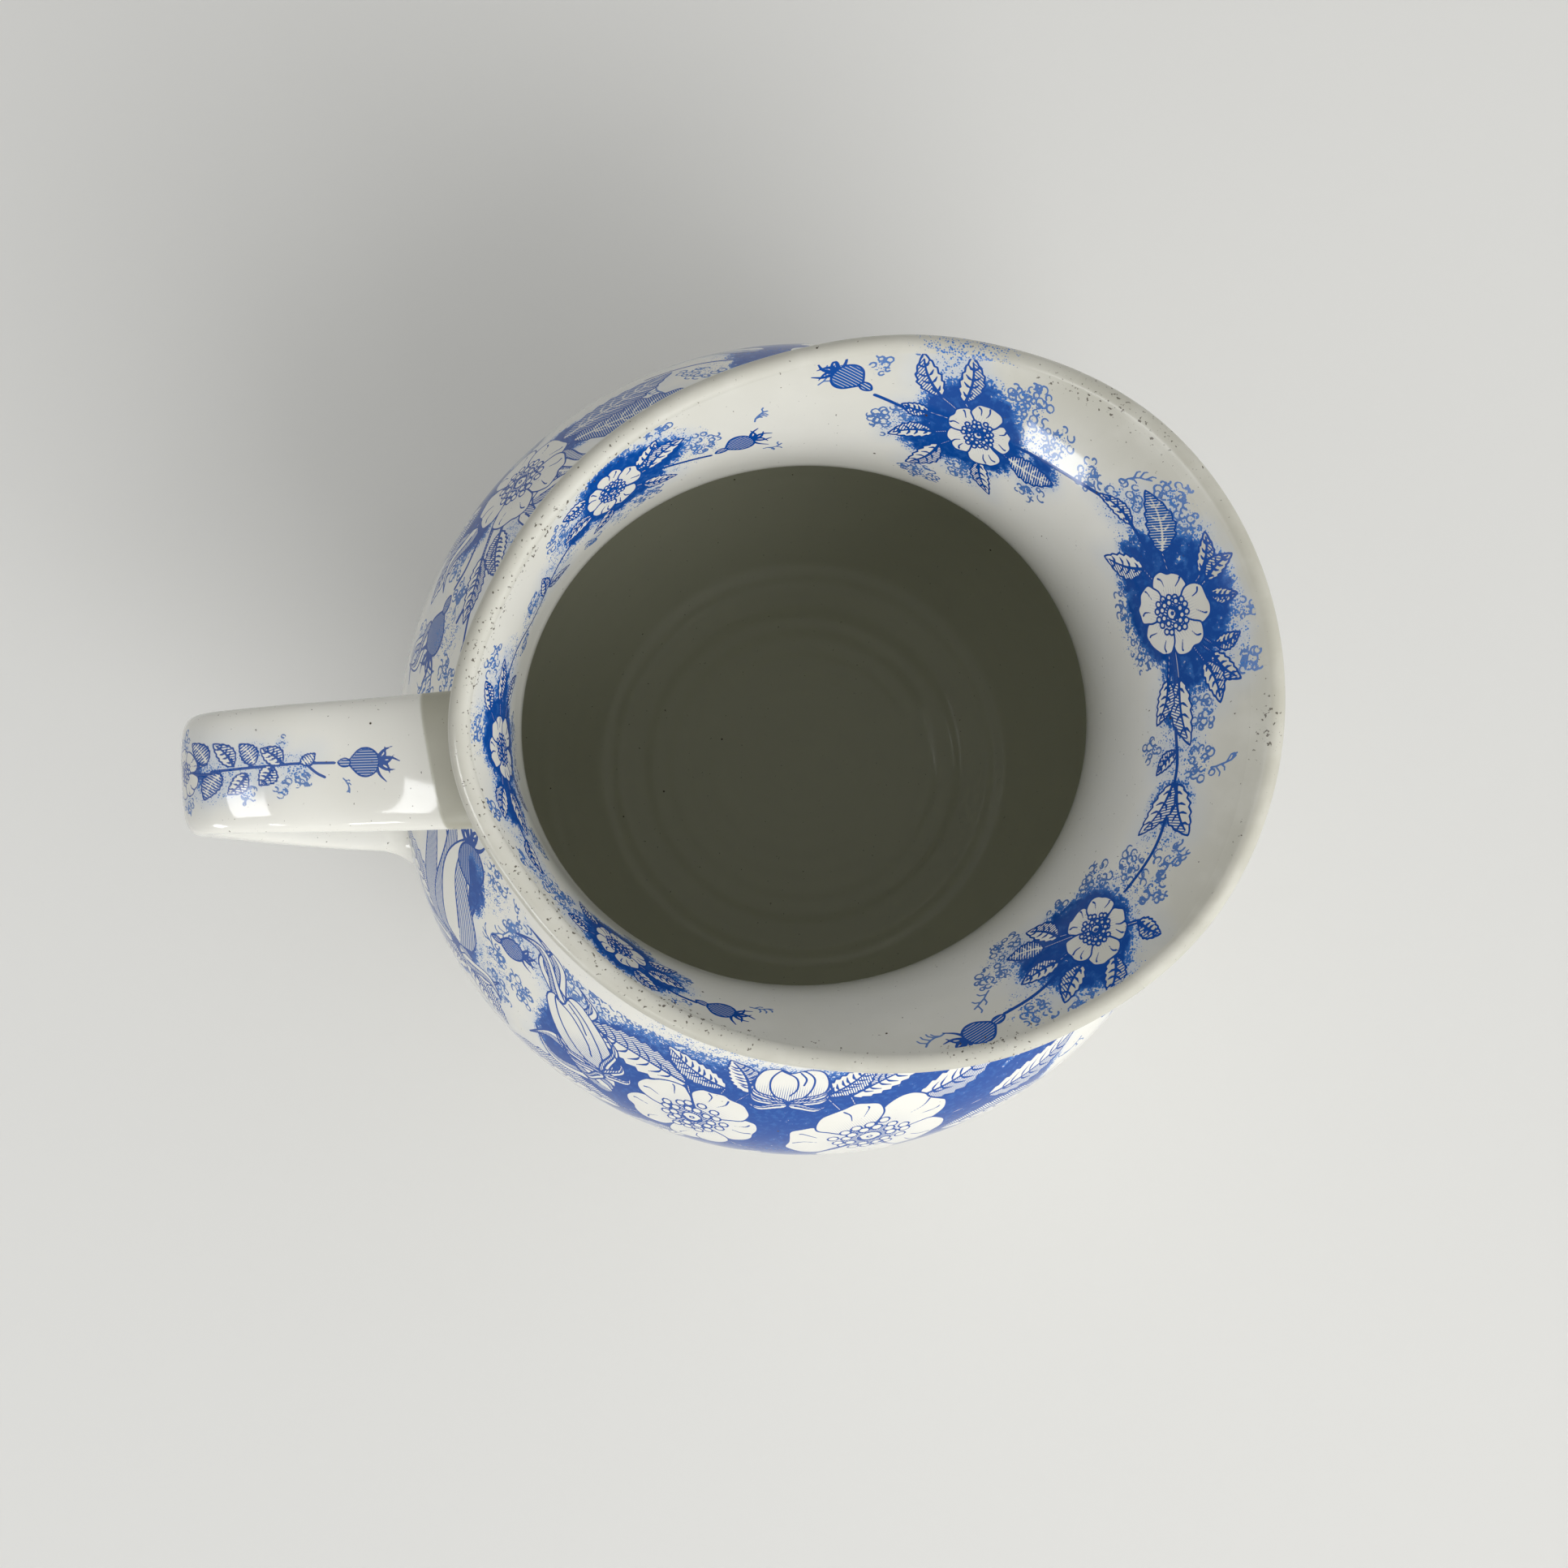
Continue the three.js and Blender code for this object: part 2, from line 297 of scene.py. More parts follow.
def with_rings(points):
    """The inside's points moved a little along their normals, as throwing leaves them."""
    along = np.gradient(points, axis=0)
    along /= np.linalg.norm(along, axis=1, keepdims=True)
    normal = np.stack([-along[:, 1], along[:, 0]], -1)
    reach = distances(points)
    wave = np.sin(2 * np.pi * reach / RING_SPACING + RING_DRIFT * np.sin(reach / RING_DRIFT_LENGTH))
    swell = np.clip(reach / RING_FADES[0], 0, 1) * np.clip((reach[-1] - reach) / RING_FADES[1], 0, 1)
    return points + (RING_DEPTH * wave * swell)[:, None] * normal


def neck_row(curves, climb, across):
    """Points at a distance across the neck's wall. climb is 0 at the shoulder, 1 at the throat and 2
    at the rim."""
    lower, upper = curves
    if climb < 1:
        return beside(lower, np.array(climb), across)
    return beside(upper, np.array(climb - 1), across)


def neck_band(climbs, across, columns):
    """Rows of the neck's surface at a distance across its wall."""
    curves = neck_curves(angles(columns))
    return np.array([np.broadcast_to(neck_row(curves, climb, across), (columns, 2)) for climb in climbs])


def lip_band(turns, columns):
    """Rows round the half round lip. turns run from 0 on the outside to 180 degrees on the inside."""
    angle = angles(columns)
    edge = neck_curves(angle)[1]
    flare = np.radians(rim_value(RIM_FLARE, angle))
    past = HALF_WALL * np.stack([np.sin(flare), np.cos(flare)], -1)
    end = np.array(1.0)
    return np.array([beside(edge, end, HALF_WALL * np.cos(t)) + np.sin(t) * past for t in np.radians(turns)])


class Band:
    """A stretch of the body's surface: rows of [radius, height] by columns of angle. texels is its
    share of the texture, and fields are the attributes that aren't blank on it."""

    def __init__(self, points, texels):
        self.points = points
        self.texels = texels
        self.angle = angles(points.shape[1])
        self.fields = {}

    def field(self, key, blank):
        return np.broadcast_to(self.fields.get(key, blank), self.points.shape[:2])


NECK_CLIMBS = np.linspace(*PRINTED_NECK, NECK_ROWS)
THROAT_ROW = np.abs(NECK_CLIMBS - 1).argmin()


def body_bands():
    """The whole surface in order: floor, inside, lip, outside, foot and underside."""
    inner = smooth_line(even_steps(inner_belly_points(), INSIDE_ROWS), 4)
    outer = outer_belly_points()
    above = outer[:, 1] > PRINT_BOTTOM
    foot = smooth_line(even_steps(foot_points(), PLAIN_ROWS), 1)
    inside, outside = -HALF_WALL, HALF_WALL
    lower_climbs = np.linspace(NECK_START, LOWER_NECK_TOP, LOWER_NECK_ROWS)
    outside_climbs = np.linspace(NECK_OUTSIDE_TOP, NECK_START, NECK_OUTSIDE_ROWS)
    return {
        "inside": Band(round_band(with_rings(inner), PLAIN_COLUMNS), 0.4),
        "lower_neck_inside": Band(neck_band(lower_climbs, inside, NECK_COLUMNS), 0.7),
        "neck_inside": Band(neck_band(NECK_CLIMBS, inside, PRINT_COLUMNS), 1.6),
        "lip": Band(lip_band(np.linspace(180, 0, LIP_ROWS), NECK_COLUMNS), 1.0),
        "neck_outside": Band(neck_band(outside_climbs, outside, NECK_COLUMNS), 0.7),
        "belly": Band(round_band(even_steps(outer[above], PRINT_ROWS), PRINT_COLUMNS), 1.2),
        "lower_belly": Band(round_band(even_steps(outer[~above], PLAIN_ROWS), NECK_COLUMNS), 0.6),
        "foot": Band(round_band(even_steps(foot, FOOT_ROWS), PLAIN_COLUMNS), 0.4),
    }


# Fields of a printed surface. line, pale and cover are distances in millimetres from dark ink, pale
# ink and the motifs' insides, negative inside them. tone says how solid the dark ground is. shade is
# the tone of the hatching in a motif and comb the distance across its strokes.
BLANK = {"line": 2.0, "pale": 2.0, "cover": 9.0, "tone": 0.0, "shade": 0.0, "comb": 0.0}
FAR = 30.0
CHUNK = 400000


def spline(points, closed=False, samples=5):
    """A smooth path through points."""
    points = np.asarray(points, float)
    if closed:
        padded = np.vstack([points[-1:], points, points[:2]])
    else:
        padded = np.vstack([2 * points[:1] - points[1:2], points, 2 * points[-1:] - points[-2:-1]])
    t = np.linspace(0, 1, samples, endpoint=False)[None, :, None]
    path = blend(*(padded[k : len(padded) - 3 + k][:, None] for k in range(4)), t).reshape(-1, 2)
    return np.vstack([path, path[:1] if closed else points[-1:]])


def path_distance(x, y, path, widths=0.0):
    """Distance of places from a path, less half the path's width there."""
    half = np.broadcast_to(widths, len(path)) / 2
    start, run = path[:-1], np.diff(path, axis=0)
    length = np.maximum((run**2).sum(1), 1e-9)
    best = np.full(x.shape, FAR)
    step = max(1, CHUNK // max(x.size, 1))
    for k in range(0, len(run), step):
        s, r, n = (values[k : k + step] for values in (start, run, length))
        dx, dy = x - s[:, 0, None, None], y - s[:, 1, None, None]
        rx, ry = r[:, 0, None, None], r[:, 1, None, None]
        t = np.clip((dx * rx + dy * ry) / n[:, None, None], 0, 1)
        wa, wb = half[k : k + len(r), None, None], half[k + 1 : k + 1 + len(r), None, None]
        miss = np.hypot(dx - t * rx, dy - t * ry) - wa - t * (wb - wa)
        np.minimum(best, miss.min(0), out=best)
    return best


def inside_path(x, y, path):
    """Whether places are inside a closed path."""
    inside = np.zeros(x.shape, bool)
    for (ax, ay), (bx, by) in zip(path, path[1:]):
        if ay != by:
            inside ^= ((ay > y) != (by > y)) & (x < ax + (y - ay) * (bx - ax) / (by - ay))
    return inside


def turned(points, angle):
    """Points turned about the origin."""
    c, s = math.cos(angle), math.sin(angle)
    return np.asarray(points, float) @ np.array([[c, s], [-s, c]])


def way(angle):
    """The unit vector at an angle in radians."""
    return np.array([math.cos(angle), math.sin(angle)])


def axes(base, tip):
    """The distance from a base to a tip, the angle of that way, and unit vectors along and across it."""
    length = np.hypot(*(tip - base))
    along = (tip - base) / length
    return length, math.atan2(along[1], along[0]), along, np.array([-along[1], along[0]])


def ring_path(centre, radius, start=0.0, sweep=2 * math.pi, count=14):
    """Part of a circle as a path."""
    angle = np.linspace(start, start + sweep, count)
    return np.stack([centre[0] + radius * np.cos(angle), centre[1] + radius * np.sin(angle)], -1)


# How far past a shape its strokes change the fields, and how far the cover of a massed shape does
STROKE_REACH = 1.5
MASS_REACH = 8.5


class Sheet:
    """A printed surface with its own coordinates: across, in degrees or millimetres, and along, in
    millimetres. scale is the number of millimetres in one unit across."""

    def __init__(self, across, along, scale, period=None):
        self.across, self.along, self.scale, self.period = across, along, scale, period
        self.fields = {key: np.full(along.shape, value, np.float32) for key, value in BLANK.items()}

    def gap(self, across, start):
        gap = across - start
        if self.period:
            gap = (gap + self.period / 2) % self.period - self.period / 2
        return gap

    def scale_at(self, place):
        column = np.abs(self.gap(self.across[0], place[0])).argmin()
        row = np.abs(self.along[:, column] - place[1]).argmin()
        return self.scale[row, column]


class Patch:
    """The surface round a place of a sheet, drawn on in millimetres from that place."""

    def __init__(self, sheet, place, reach, pen):
        self.sheet, self.place, self.pen = sheet, place, pen
        gap = np.abs(sheet.gap(sheet.across[0], place[0]))
        columns = np.flatnonzero(gap * sheet.scale_at(place) < reach)
        near = np.abs(sheet.along[:, columns] - place[1]).min(1)
        self.index = np.ix_(np.flatnonzero(near < reach), np.roll(columns, self.seam(columns)))
        self.x = sheet.gap(sheet.across[self.index], place[0]) * sheet.scale[self.index]
        self.y = sheet.along[self.index] - place[1]
        self.fields = {key: values[self.index] for key, values in sheet.fields.items()}

    @staticmethod
    def seam(columns):
        """How far to roll the columns so that a patch over the sheet's seam is in one piece."""
        breaks = np.flatnonzero(np.diff(columns) > 1)
        return -(breaks[0] + 1) if len(breaks) else 0

    def keep(self):
        for key, values in self.fields.items():
            self.sheet.fields[key][self.index] = values

    def at(self, across, along):
        """A place of the sheet in the patch's millimetres."""
        gap = self.sheet.gap(across, self.place[0])
        return np.array([gap * self.sheet.scale_at((across, along)), along - self.place[1]])

    def window(self, path, margin):
        low, high = path.min(0) - margin, path.max(0) + margin
        hit = (self.x > low[0]) & (self.x < high[0]) & (self.y > low[1]) & (self.y < high[1])
        if not hit.any():
            return None
        rows, columns = np.flatnonzero(hit.any(1)), np.flatnonzero(hit.any(0))
        return (slice(rows[0], rows[-1] + 1), slice(columns[0], columns[-1] + 1))

    def value(self, key, place):
        """A field's value at the vertex nearest to a place."""
        return self.fields[key].flat[np.hypot(self.x - place[0], self.y - place[1]).argmin()]

    def stroke(self, path, widths=None, ink="line"):
        """Draws a path with a pen whose width may change along it."""
        path = np.asarray(path, float)
        widths = self.pen if widths is None else widths
        window = self.window(path, STROKE_REACH)
        if window is not None:
            miss = path_distance(self.x[window], self.y[window], path, widths)
            field = self.fields[ink]
            field[window] = np.minimum(field[window], miss)

    def scratch(self, path, widths):
        """Leaves a path white in a hatched shape."""
        window = self.window(path, STROKE_REACH)
        if window is not None:
            miss = path_distance(self.x[window], self.y[window], path, widths)
            self.fields["shade"][window] *= np.clip(miss / 0.2 + 0.5, 0, 1)

    def reserve(self, path, pen=None, massed=True):
        """Clears the inside of a closed path and draws its outline. A massed shape has the dark ground
        round it."""
        window = self.window(path, MASS_REACH if massed else STROKE_REACH)
        if window is None:
            return
        x, y = self.x[window], self.y[window]
        miss = path_distance(x, y, path)
        miss = np.where(inside_path(x, y, path), -miss, miss)
        fields = self.fields
        for key in ("line", "pale"):
            fields[key][window] = np.maximum(fields[key][window], -miss)
        fields["shade"][window] *= miss > 0
        pen = self.pen if pen is None else pen
        fields["line"][window] = np.minimum(fields["line"][window], np.abs(miss) - pen / 2)
        if massed:
            fields["cover"][window] = np.minimum(fields["cover"][window], miss)

    def tint(self, path, tone, comb, fade=None, centre=None):
        """Hatches the inside of a closed path. comb is the direction across the strokes in radians.
        With a fade, the tone dies away over that distance from the centre."""
        window = self.window(path, 0.3)
        if window is None:
            return
        x, y = self.x[window], self.y[window]
        level = np.full(x.shape, tone)
        if fade:
            level *= np.clip(1 - np.hypot(x - centre[0], y - centre[1]) / fade, 0, 1)
        inside = inside_path(x, y, path) & (level > self.fields["shade"][window])
        self.fields["shade"][window] = np.where(inside, level, self.fields["shade"][window])
        across = x * math.cos(comb) + y * math.sin(comb)
        self.fields["comb"][window] = np.where(inside, across, self.fields["comb"][window])

    def shade_round(self, centre, reach, edge, tone):
        """Deepens the ground round a place, fading out over an edge at its reach."""
        far = np.hypot(self.x - centre[0], self.y - centre[1])
        self.fields["tone"] = np.maximum(self.fields["tone"], tone * np.clip((reach - far) / edge, 0, 1))


# Leaves: those wider than BIG_LEAF have more teeth. The root and depth of a tooth and the reach of the
# veins are shares of the half width, the leaf's bend and the places, lean and bend of its veins are
# shares of its length, and the widths along the midrib and along a vein are in pens.
BIG_LEAF = 7
BIG_LEAF_TEETH = 9
LEAF_TEETH = 6
TOOTH_ROOT = 0.9
TOOTH_DEPTH = 0.26
LEAF_BOW = 0.08
LEAF_TONE = 0.5
DARK_LEAF_TONE = 0.95
VEIN_PLACES = (0.14, 0.74)
VEIN_REACH = 0.66
VEIN_LEAN = 0.11
VEIN_BOW = 0.02
MIDRIB_PENS = (1.9, 0.9)
VEIN_PENS = (0.5, 1.5, 0.4)


def leaf(patch, base, tip, width, dark):
    """A rose leaf from its base to its tip. dark is the side that is hatched, 1 or -1, or 0 for a leaf
    that is dark all over with white veins."""
    length, heading, along, across = axes(base, tip)
    teeth = BIG_LEAF_TEETH if width > BIG_LEAF else LEAF_TEETH
    t = np.linspace(0, 1, 4 * teeth + 1)[:, None]
    middle = base + t * (tip - base) + LEAF_BOW * (dark or 1) * length * np.sin(np.pi * t) * across
    swell = width / 2 * np.sin(np.pi * t**0.8) ** 0.85
    tooth = TOOTH_ROOT + TOOTH_DEPTH * ((t * teeth) % 1)
    sides = {k: middle + k * across * swell * tooth for k in (1, -1)}
    outline = np.vstack([sides[1], sides[-1][::-1], sides[1][:1]])
    patch.reserve(outline)
    if dark:
        half = np.vstack([sides[dark], middle[::-1], sides[dark][:1]])
        patch.tint(half, LEAF_TONE, heading + 0.6 * dark)
    else:
        patch.tint(outline, DARK_LEAF_TONE, heading)
    draw = patch.stroke if dark else patch.scratch
    draw(middle[:-3], np.linspace(*MIDRIB_PENS, len(middle) - 3) * patch.pen)
    wedge = np.interp(np.arange(7), (0, 3, 6), VEIN_PENS) * patch.pen
    for place in np.linspace(*VEIN_PLACES, teeth - 2):
        i = int(place * (len(t) - 1))
        for k in (1, -1):
            edge = middle[i] + k * across * swell[i] * VEIN_REACH + along * length * VEIN_LEAN
            bend = (middle[i] + edge) / 2 - along * length * VEIN_BOW
            draw(spline([middle[i] + 0.12 * (edge - middle[i]), bend, edge], samples=3), wedge)


# Outline of a petal from its claw to its notched edge, along and across, for a flower of radius 1
PETAL = (
    (0.14, 0.0), (0.3, 0.2), (0.47, 0.36), (0.64, 0.46), (0.81, 0.46), (0.94, 0.35), (1.0, 0.17),
    (0.98, 0.01), (1.0, -0.14), (0.94, -0.32), (0.81, -0.44), (0.64, -0.46), (0.47, -0.37), (0.3, -0.19),
)

# How many petals a rose has, how far each may turn in radians, their sizes and how far the points of
# their outlines may stray as shares of its radius, and the tone at their claws and how far out it fades
PETALS = 5
PETAL_TURN = 0.08
PETAL_SIZES = (0.92, 1.05)
PETAL_WAVE = 0.03
PETAL_TONE = 0.24
PETAL_FADE = 0.8

# The boss as a share of the rose's radius, its tone, and the stamens: their rings in the boss's radii,
# their own radius as a share of the rose's and at least in millimetres, and their gap in their radii
BOSS = 0.36
BOSS_TONE = 0.75
STAMEN_RINGS = (1.12, 0.74)
STAMEN_SHARE = 0.07
LEAST_STAMEN = 0.55
STAMEN_GAP = 2.3


def rose(patch, centre, radius, turn, seed):
    """An open dog rose: five notched petals round a boss of stamens."""
    draw = np.random.default_rng(seed)
    for k in np.roll(np.arange(PETALS), seed):
        angle = turn + 2 * math.pi * k / PETALS + draw.uniform(-PETAL_TURN, PETAL_TURN)
        size = radius * draw.uniform(*PETAL_SIZES)
        shape = np.array(PETAL) + draw.uniform(-PETAL_WAVE, PETAL_WAVE, (len(PETAL), 2))
        shape[:, 1] *= draw.choice([-1, 1])
        path = spline(centre + size * turned(shape, angle), closed=True)
        patch.reserve(path)
        patch.tint(path, PETAL_TONE, angle + math.pi / 2, PETAL_FADE * radius, centre)
        for side in draw.choice([-1, 0, 1], 2, replace=False):
            crease = [(0.93 - 0.08 * abs(side), 0.3 * side), (0.8, 0.25 * side + 0.04), (0.64, 0.16 * side)]
            pens = patch.pen * np.linspace(1.1, 0.4, 7)
            patch.stroke(spline(centre + size * turned(crease, angle), samples=3), pens)
    boss = BOSS * radius
    stamen = max(LEAST_STAMEN, STAMEN_SHARE * radius)
    patch.reserve(ring_path(centre, boss * 0.9), 0.0)
    patch.tint(ring_path(centre, boss * 0.95), BOSS_TONE, 0.6)
    for reach in STAMEN_RINGS:
        count = int(2 * math.pi * boss * reach / (STAMEN_GAP * stamen))
        for k in range(count):
            angle = 2 * math.pi * (k + draw.uniform(-0.2, 0.2)) / count
            place = centre + boss * reach * draw.uniform(0.9, 1.14) * way(angle)
            patch.reserve(ring_path(place, stamen, count=9), patch.pen * 0.9, massed=False)
    patch.reserve(ring_path(centre, 0.4 * boss), patch.pen)
    patch.stroke(ring_path(centre, 0.36 * boss, turn, 2.6), patch.pen * 2.4)
    patch.stroke(ring_path(centre, 0.1 * boss, count=6), patch.pen * 0.8)


# A bud of length and radius 1, along and across: the outlines of its outer petal and of its heart, and
# the folds on its heart. Its sepals have a side and how far along they reach.
BUD_PETAL = ((0, 0), (0.2, 0.75), (0.55, 1.05), (0.95, 0.85), (1.04, 0.4), (0.9, 0.1), (0.4, -0.2))
BUD_HEART = (
    (0.12, 0), (0.35, 0.5), (0.75, 0.62), (1, 0.3), (0.94, -0.05), (1, -0.35), (0.72, -0.6), (0.35, -0.5),
)
BUD_FOLDS = (((0.98, -0.3), (0.8, 0.1), (0.5, 0.18), (0.3, 0.0)), ((0.95, 0.2), (0.78, 0.38), (0.6, 0.34)))
BUD_SEPALS = ((1, 0.75), (-1, 0.75), (1, 0.42), (-1, 0.4), (1, 0.1), (-1, 0.08))


def bud(patch, base, head, radius, seed):
    """A half open rosebud seen from the side, with its petals wrapped round and its sepals spread."""
    draw = np.random.default_rng(seed)
    length, angle, _, _ = axes(base, head)

    def out(points):
        return base + turned(np.array(points, float) * (length, radius), angle)

    wrapped = (BUD_PETAL, 1, 0.5, 0.8), (BUD_PETAL, -1, 0.5, 0.8), (BUD_HEART, 1, 0.45, 0.7)
    for shape, side, tone, fade in wrapped:
        path = spline(out(np.array(shape) * (1, side)), closed=True)
        patch.reserve(path)
        patch.tint(path, tone, angle + math.pi / 2, fade * length, base)
    for fold in BUD_FOLDS:
        patch.stroke(spline(out(fold)))
    for side, reach in BUD_SEPALS:
        tip = out([(reach * draw.uniform(0.85, 1.1), side * (1.25 - 0.3 * reach))])[0]
        horn(patch, out([(0.02, 0)])[0], tip, 0.2 * radius + 1.2, 0.2 * side, 0.6)


# Outlines of half a hip and of its swollen neck, along and across, for a hip of radius 1, and its dried
# sepals: how many, the angle of their fan in radians, and the least and greatest length in radii
HIP_HALF = ((-1.25, 0.12), (-0.95, 0.5), (-0.45, 0.93), (0.15, 1.02), (0.7, 0.78), (1.0, 0.34))
HIP_NECK = ((-2.2, 0), (-1.9, 0.26), (-1.5, 0.3), (-1.2, 0.12), (-1.2, -0.12), (-1.5, -0.3), (-1.9, -0.26))
HIP_SEPALS = 7
HIP_FAN = 2.3
HIP_SEPAL_LENGTHS = (1.2, 1.8)


def hip(patch, base, head, radius):
    """A rose hip: a swollen neck, a round hatched fruit and dried sepals at its head."""
    _, angle, along, _ = axes(base, head)
    comb = angle + math.pi / 2
    centre = head - along * radius * 0.2
    tip = centre + along * radius
    for k in range(HIP_SEPALS):
        fan = way(angle + (k / (HIP_SEPALS - 1) - 0.5) * HIP_FAN)
        reach = radius * np.interp(k * 0.618 % 1, (0, 1), HIP_SEPAL_LENGTHS)
        bend = np.array([-fan[1], fan[0]]) * 0.3 * radius * (-1) ** k
        turns = [tip - along * 0.2 * radius, tip + fan * reach * 0.5 + bend, tip + fan * reach]
        spike = spline(turns, samples=4)
        patch.stroke(spike, np.linspace(0.3 * radius, 0.5 * patch.pen, len(spike)))
    outline = [*HIP_HALF, *((x, -y) for x, y in HIP_HALF[::-1])]
    body = spline(centre + radius * turned(outline, angle), closed=True, samples=4)
    patch.reserve(body, patch.pen * 1.2, massed=False)
    patch.tint(body, 1.0, comb)
    neck = spline(centre + radius * turned(HIP_NECK, angle), closed=True, samples=3)
    patch.reserve(neck, patch.pen, massed=False)
    patch.tint(neck, 0.9, comb)


def white_stem(patch, base, tip, width):
    """A short stem left white on the dark ground, between a rose and a leaf."""
    across = axes(base, tip)[3] * width / 2
    middle = base + 0.5 * (tip - base) + 1.5 * across
    path = spline([base, middle, tip], samples=4)
    patch.reserve(np.vstack([path + across, (path - across)[::-1], path[:1] + across]))


HORN_TONE = 0.62
HORN_STEPS = 19


def horn(patch, base, tip, width, bow, tone=HORN_TONE):
    """A flame shaped sepal or a narrow petal, wide near its base, bent and drawn out to its tip."""
    length, heading, _, across = axes(base, tip)
    t = np.linspace(0, 1, HORN_STEPS)[:, None]
    sway = np.sin(np.pi * t) - 0.45 * np.sin(2 * np.pi * t)
    middle = base + t * (tip - base) + bow * length * sway * across
    swell = width / 2 * np.sin(np.pi * t**0.5) ** 0.8
    left, right = middle + across * swell, middle - across * swell
    patch.reserve(np.vstack([left, right[::-1], left[:1]]))
    side = right if bow > 0 else left
    patch.tint(np.vstack([side, middle[::-1], side[:1]]), tone, heading + math.pi / 2)
    patch.stroke(middle[3:-4], np.linspace(1.3, 0.5, len(middle) - 7) * patch.pen)


# Moss: its rings' size in pens, their spacing in sizes, the distance of their rows as a share of that,
# and the share of places that get one. Mist: how dense its stipple is, and the share of its reach over
# which it fades.
MOSS_SIZE = 2.5
MOSS_SPACING = 1.85
MOSS_ROWS = 0.88
MOSS_SHARE = 0.8
MIST_TONE = 0.31
MIST_FADE = 0.6


def lay_mist(patch, centre, reach):
    """Pale stippling round a place, fading out at its reach."""
    patch.shade_round(centre, reach, MIST_FADE * reach, MIST_TONE)


def moss(patch, centre, reach, seed):
    """A drift of little open rings, as on a moss rose."""
    draw = np.random.default_rng(seed)
    size = MOSS_SIZE * patch.pen
    step = MOSS_SPACING * size
    count = int(reach / step) + 1
    for i, j in itertools.product(range(-count, count + 1), repeat=2):
        place = np.array([(i + 0.5 * (j % 2)) * step, j * MOSS_ROWS * step])
        place += draw.uniform(-0.5, 0.5, 2) * step
        radius, start, sweep, lot = draw.uniform((0.55, 0, 2.9, 0), (1.15, 6.3, 6.2, 1)) * (size, 1, 1, 1)
        if np.hypot(*place) > reach or lot > MOSS_SHARE:
            continue
        place = place + centre
        if patch.value("cover", place) > 0.8 * size:
            pens = patch.pen * np.linspace(1.15, 0.6, 8)
            patch.stroke(ring_path(place, radius, start, sweep, count=8), pens, "pale")
    lay_mist(patch, centre, reach)


TWIG_JOINTS = 5


def twig(patch, start, heading, length, seed):
    """A thin bare twig that forks."""
    draw = np.random.default_rng(seed)
    path = [start]
    for k in range(TWIG_JOINTS):
        heading += draw.uniform(-0.5, 0.5)
        place = path[-1] + length / TWIG_JOINTS * way(heading)
        path.append(place)
        if k < TWIG_JOINTS - 1:
            fork = heading + draw.choice([-1, 1]) * draw.uniform(0.7, 1.1)
            branch = place + 0.3 * length * draw.uniform(0.6, 1) * way(fork)
            shoot = branch + 0.12 * length * way(fork + 0.8)
            for ends in ([place, branch], [branch, shoot]):
                patch.stroke(ends, patch.pen * 0.8, "pale")
    patch.stroke(path, patch.pen * 0.9, "pale")


GROUND_EDGE = 4.5


def lay_ground(patch, centre, reach, solid, wide):
    """Dark ground round the massed motifs within a reach of a place. It is solid out to one distance
    from them, and stippled out to the other."""
    close = np.clip((wide - patch.fields["cover"]) / (wide - solid), 0, 1)
    patch.shade_round(centre, reach, GROUND_EDGE, close)


# How each surface is printed: its pen and first seed, and how far from the motifs the dark ground is
# solid, and then stippled, in millimetres
NECK_PRINT = (0.34, 3, 1.8, 7.0)
BELLY_PRINT = (0.44, 60, 6.0, 8.5)
HANDLE_PRINT = (0.27, 90, 1.8, 7.0)
SEEDS_APART = 7

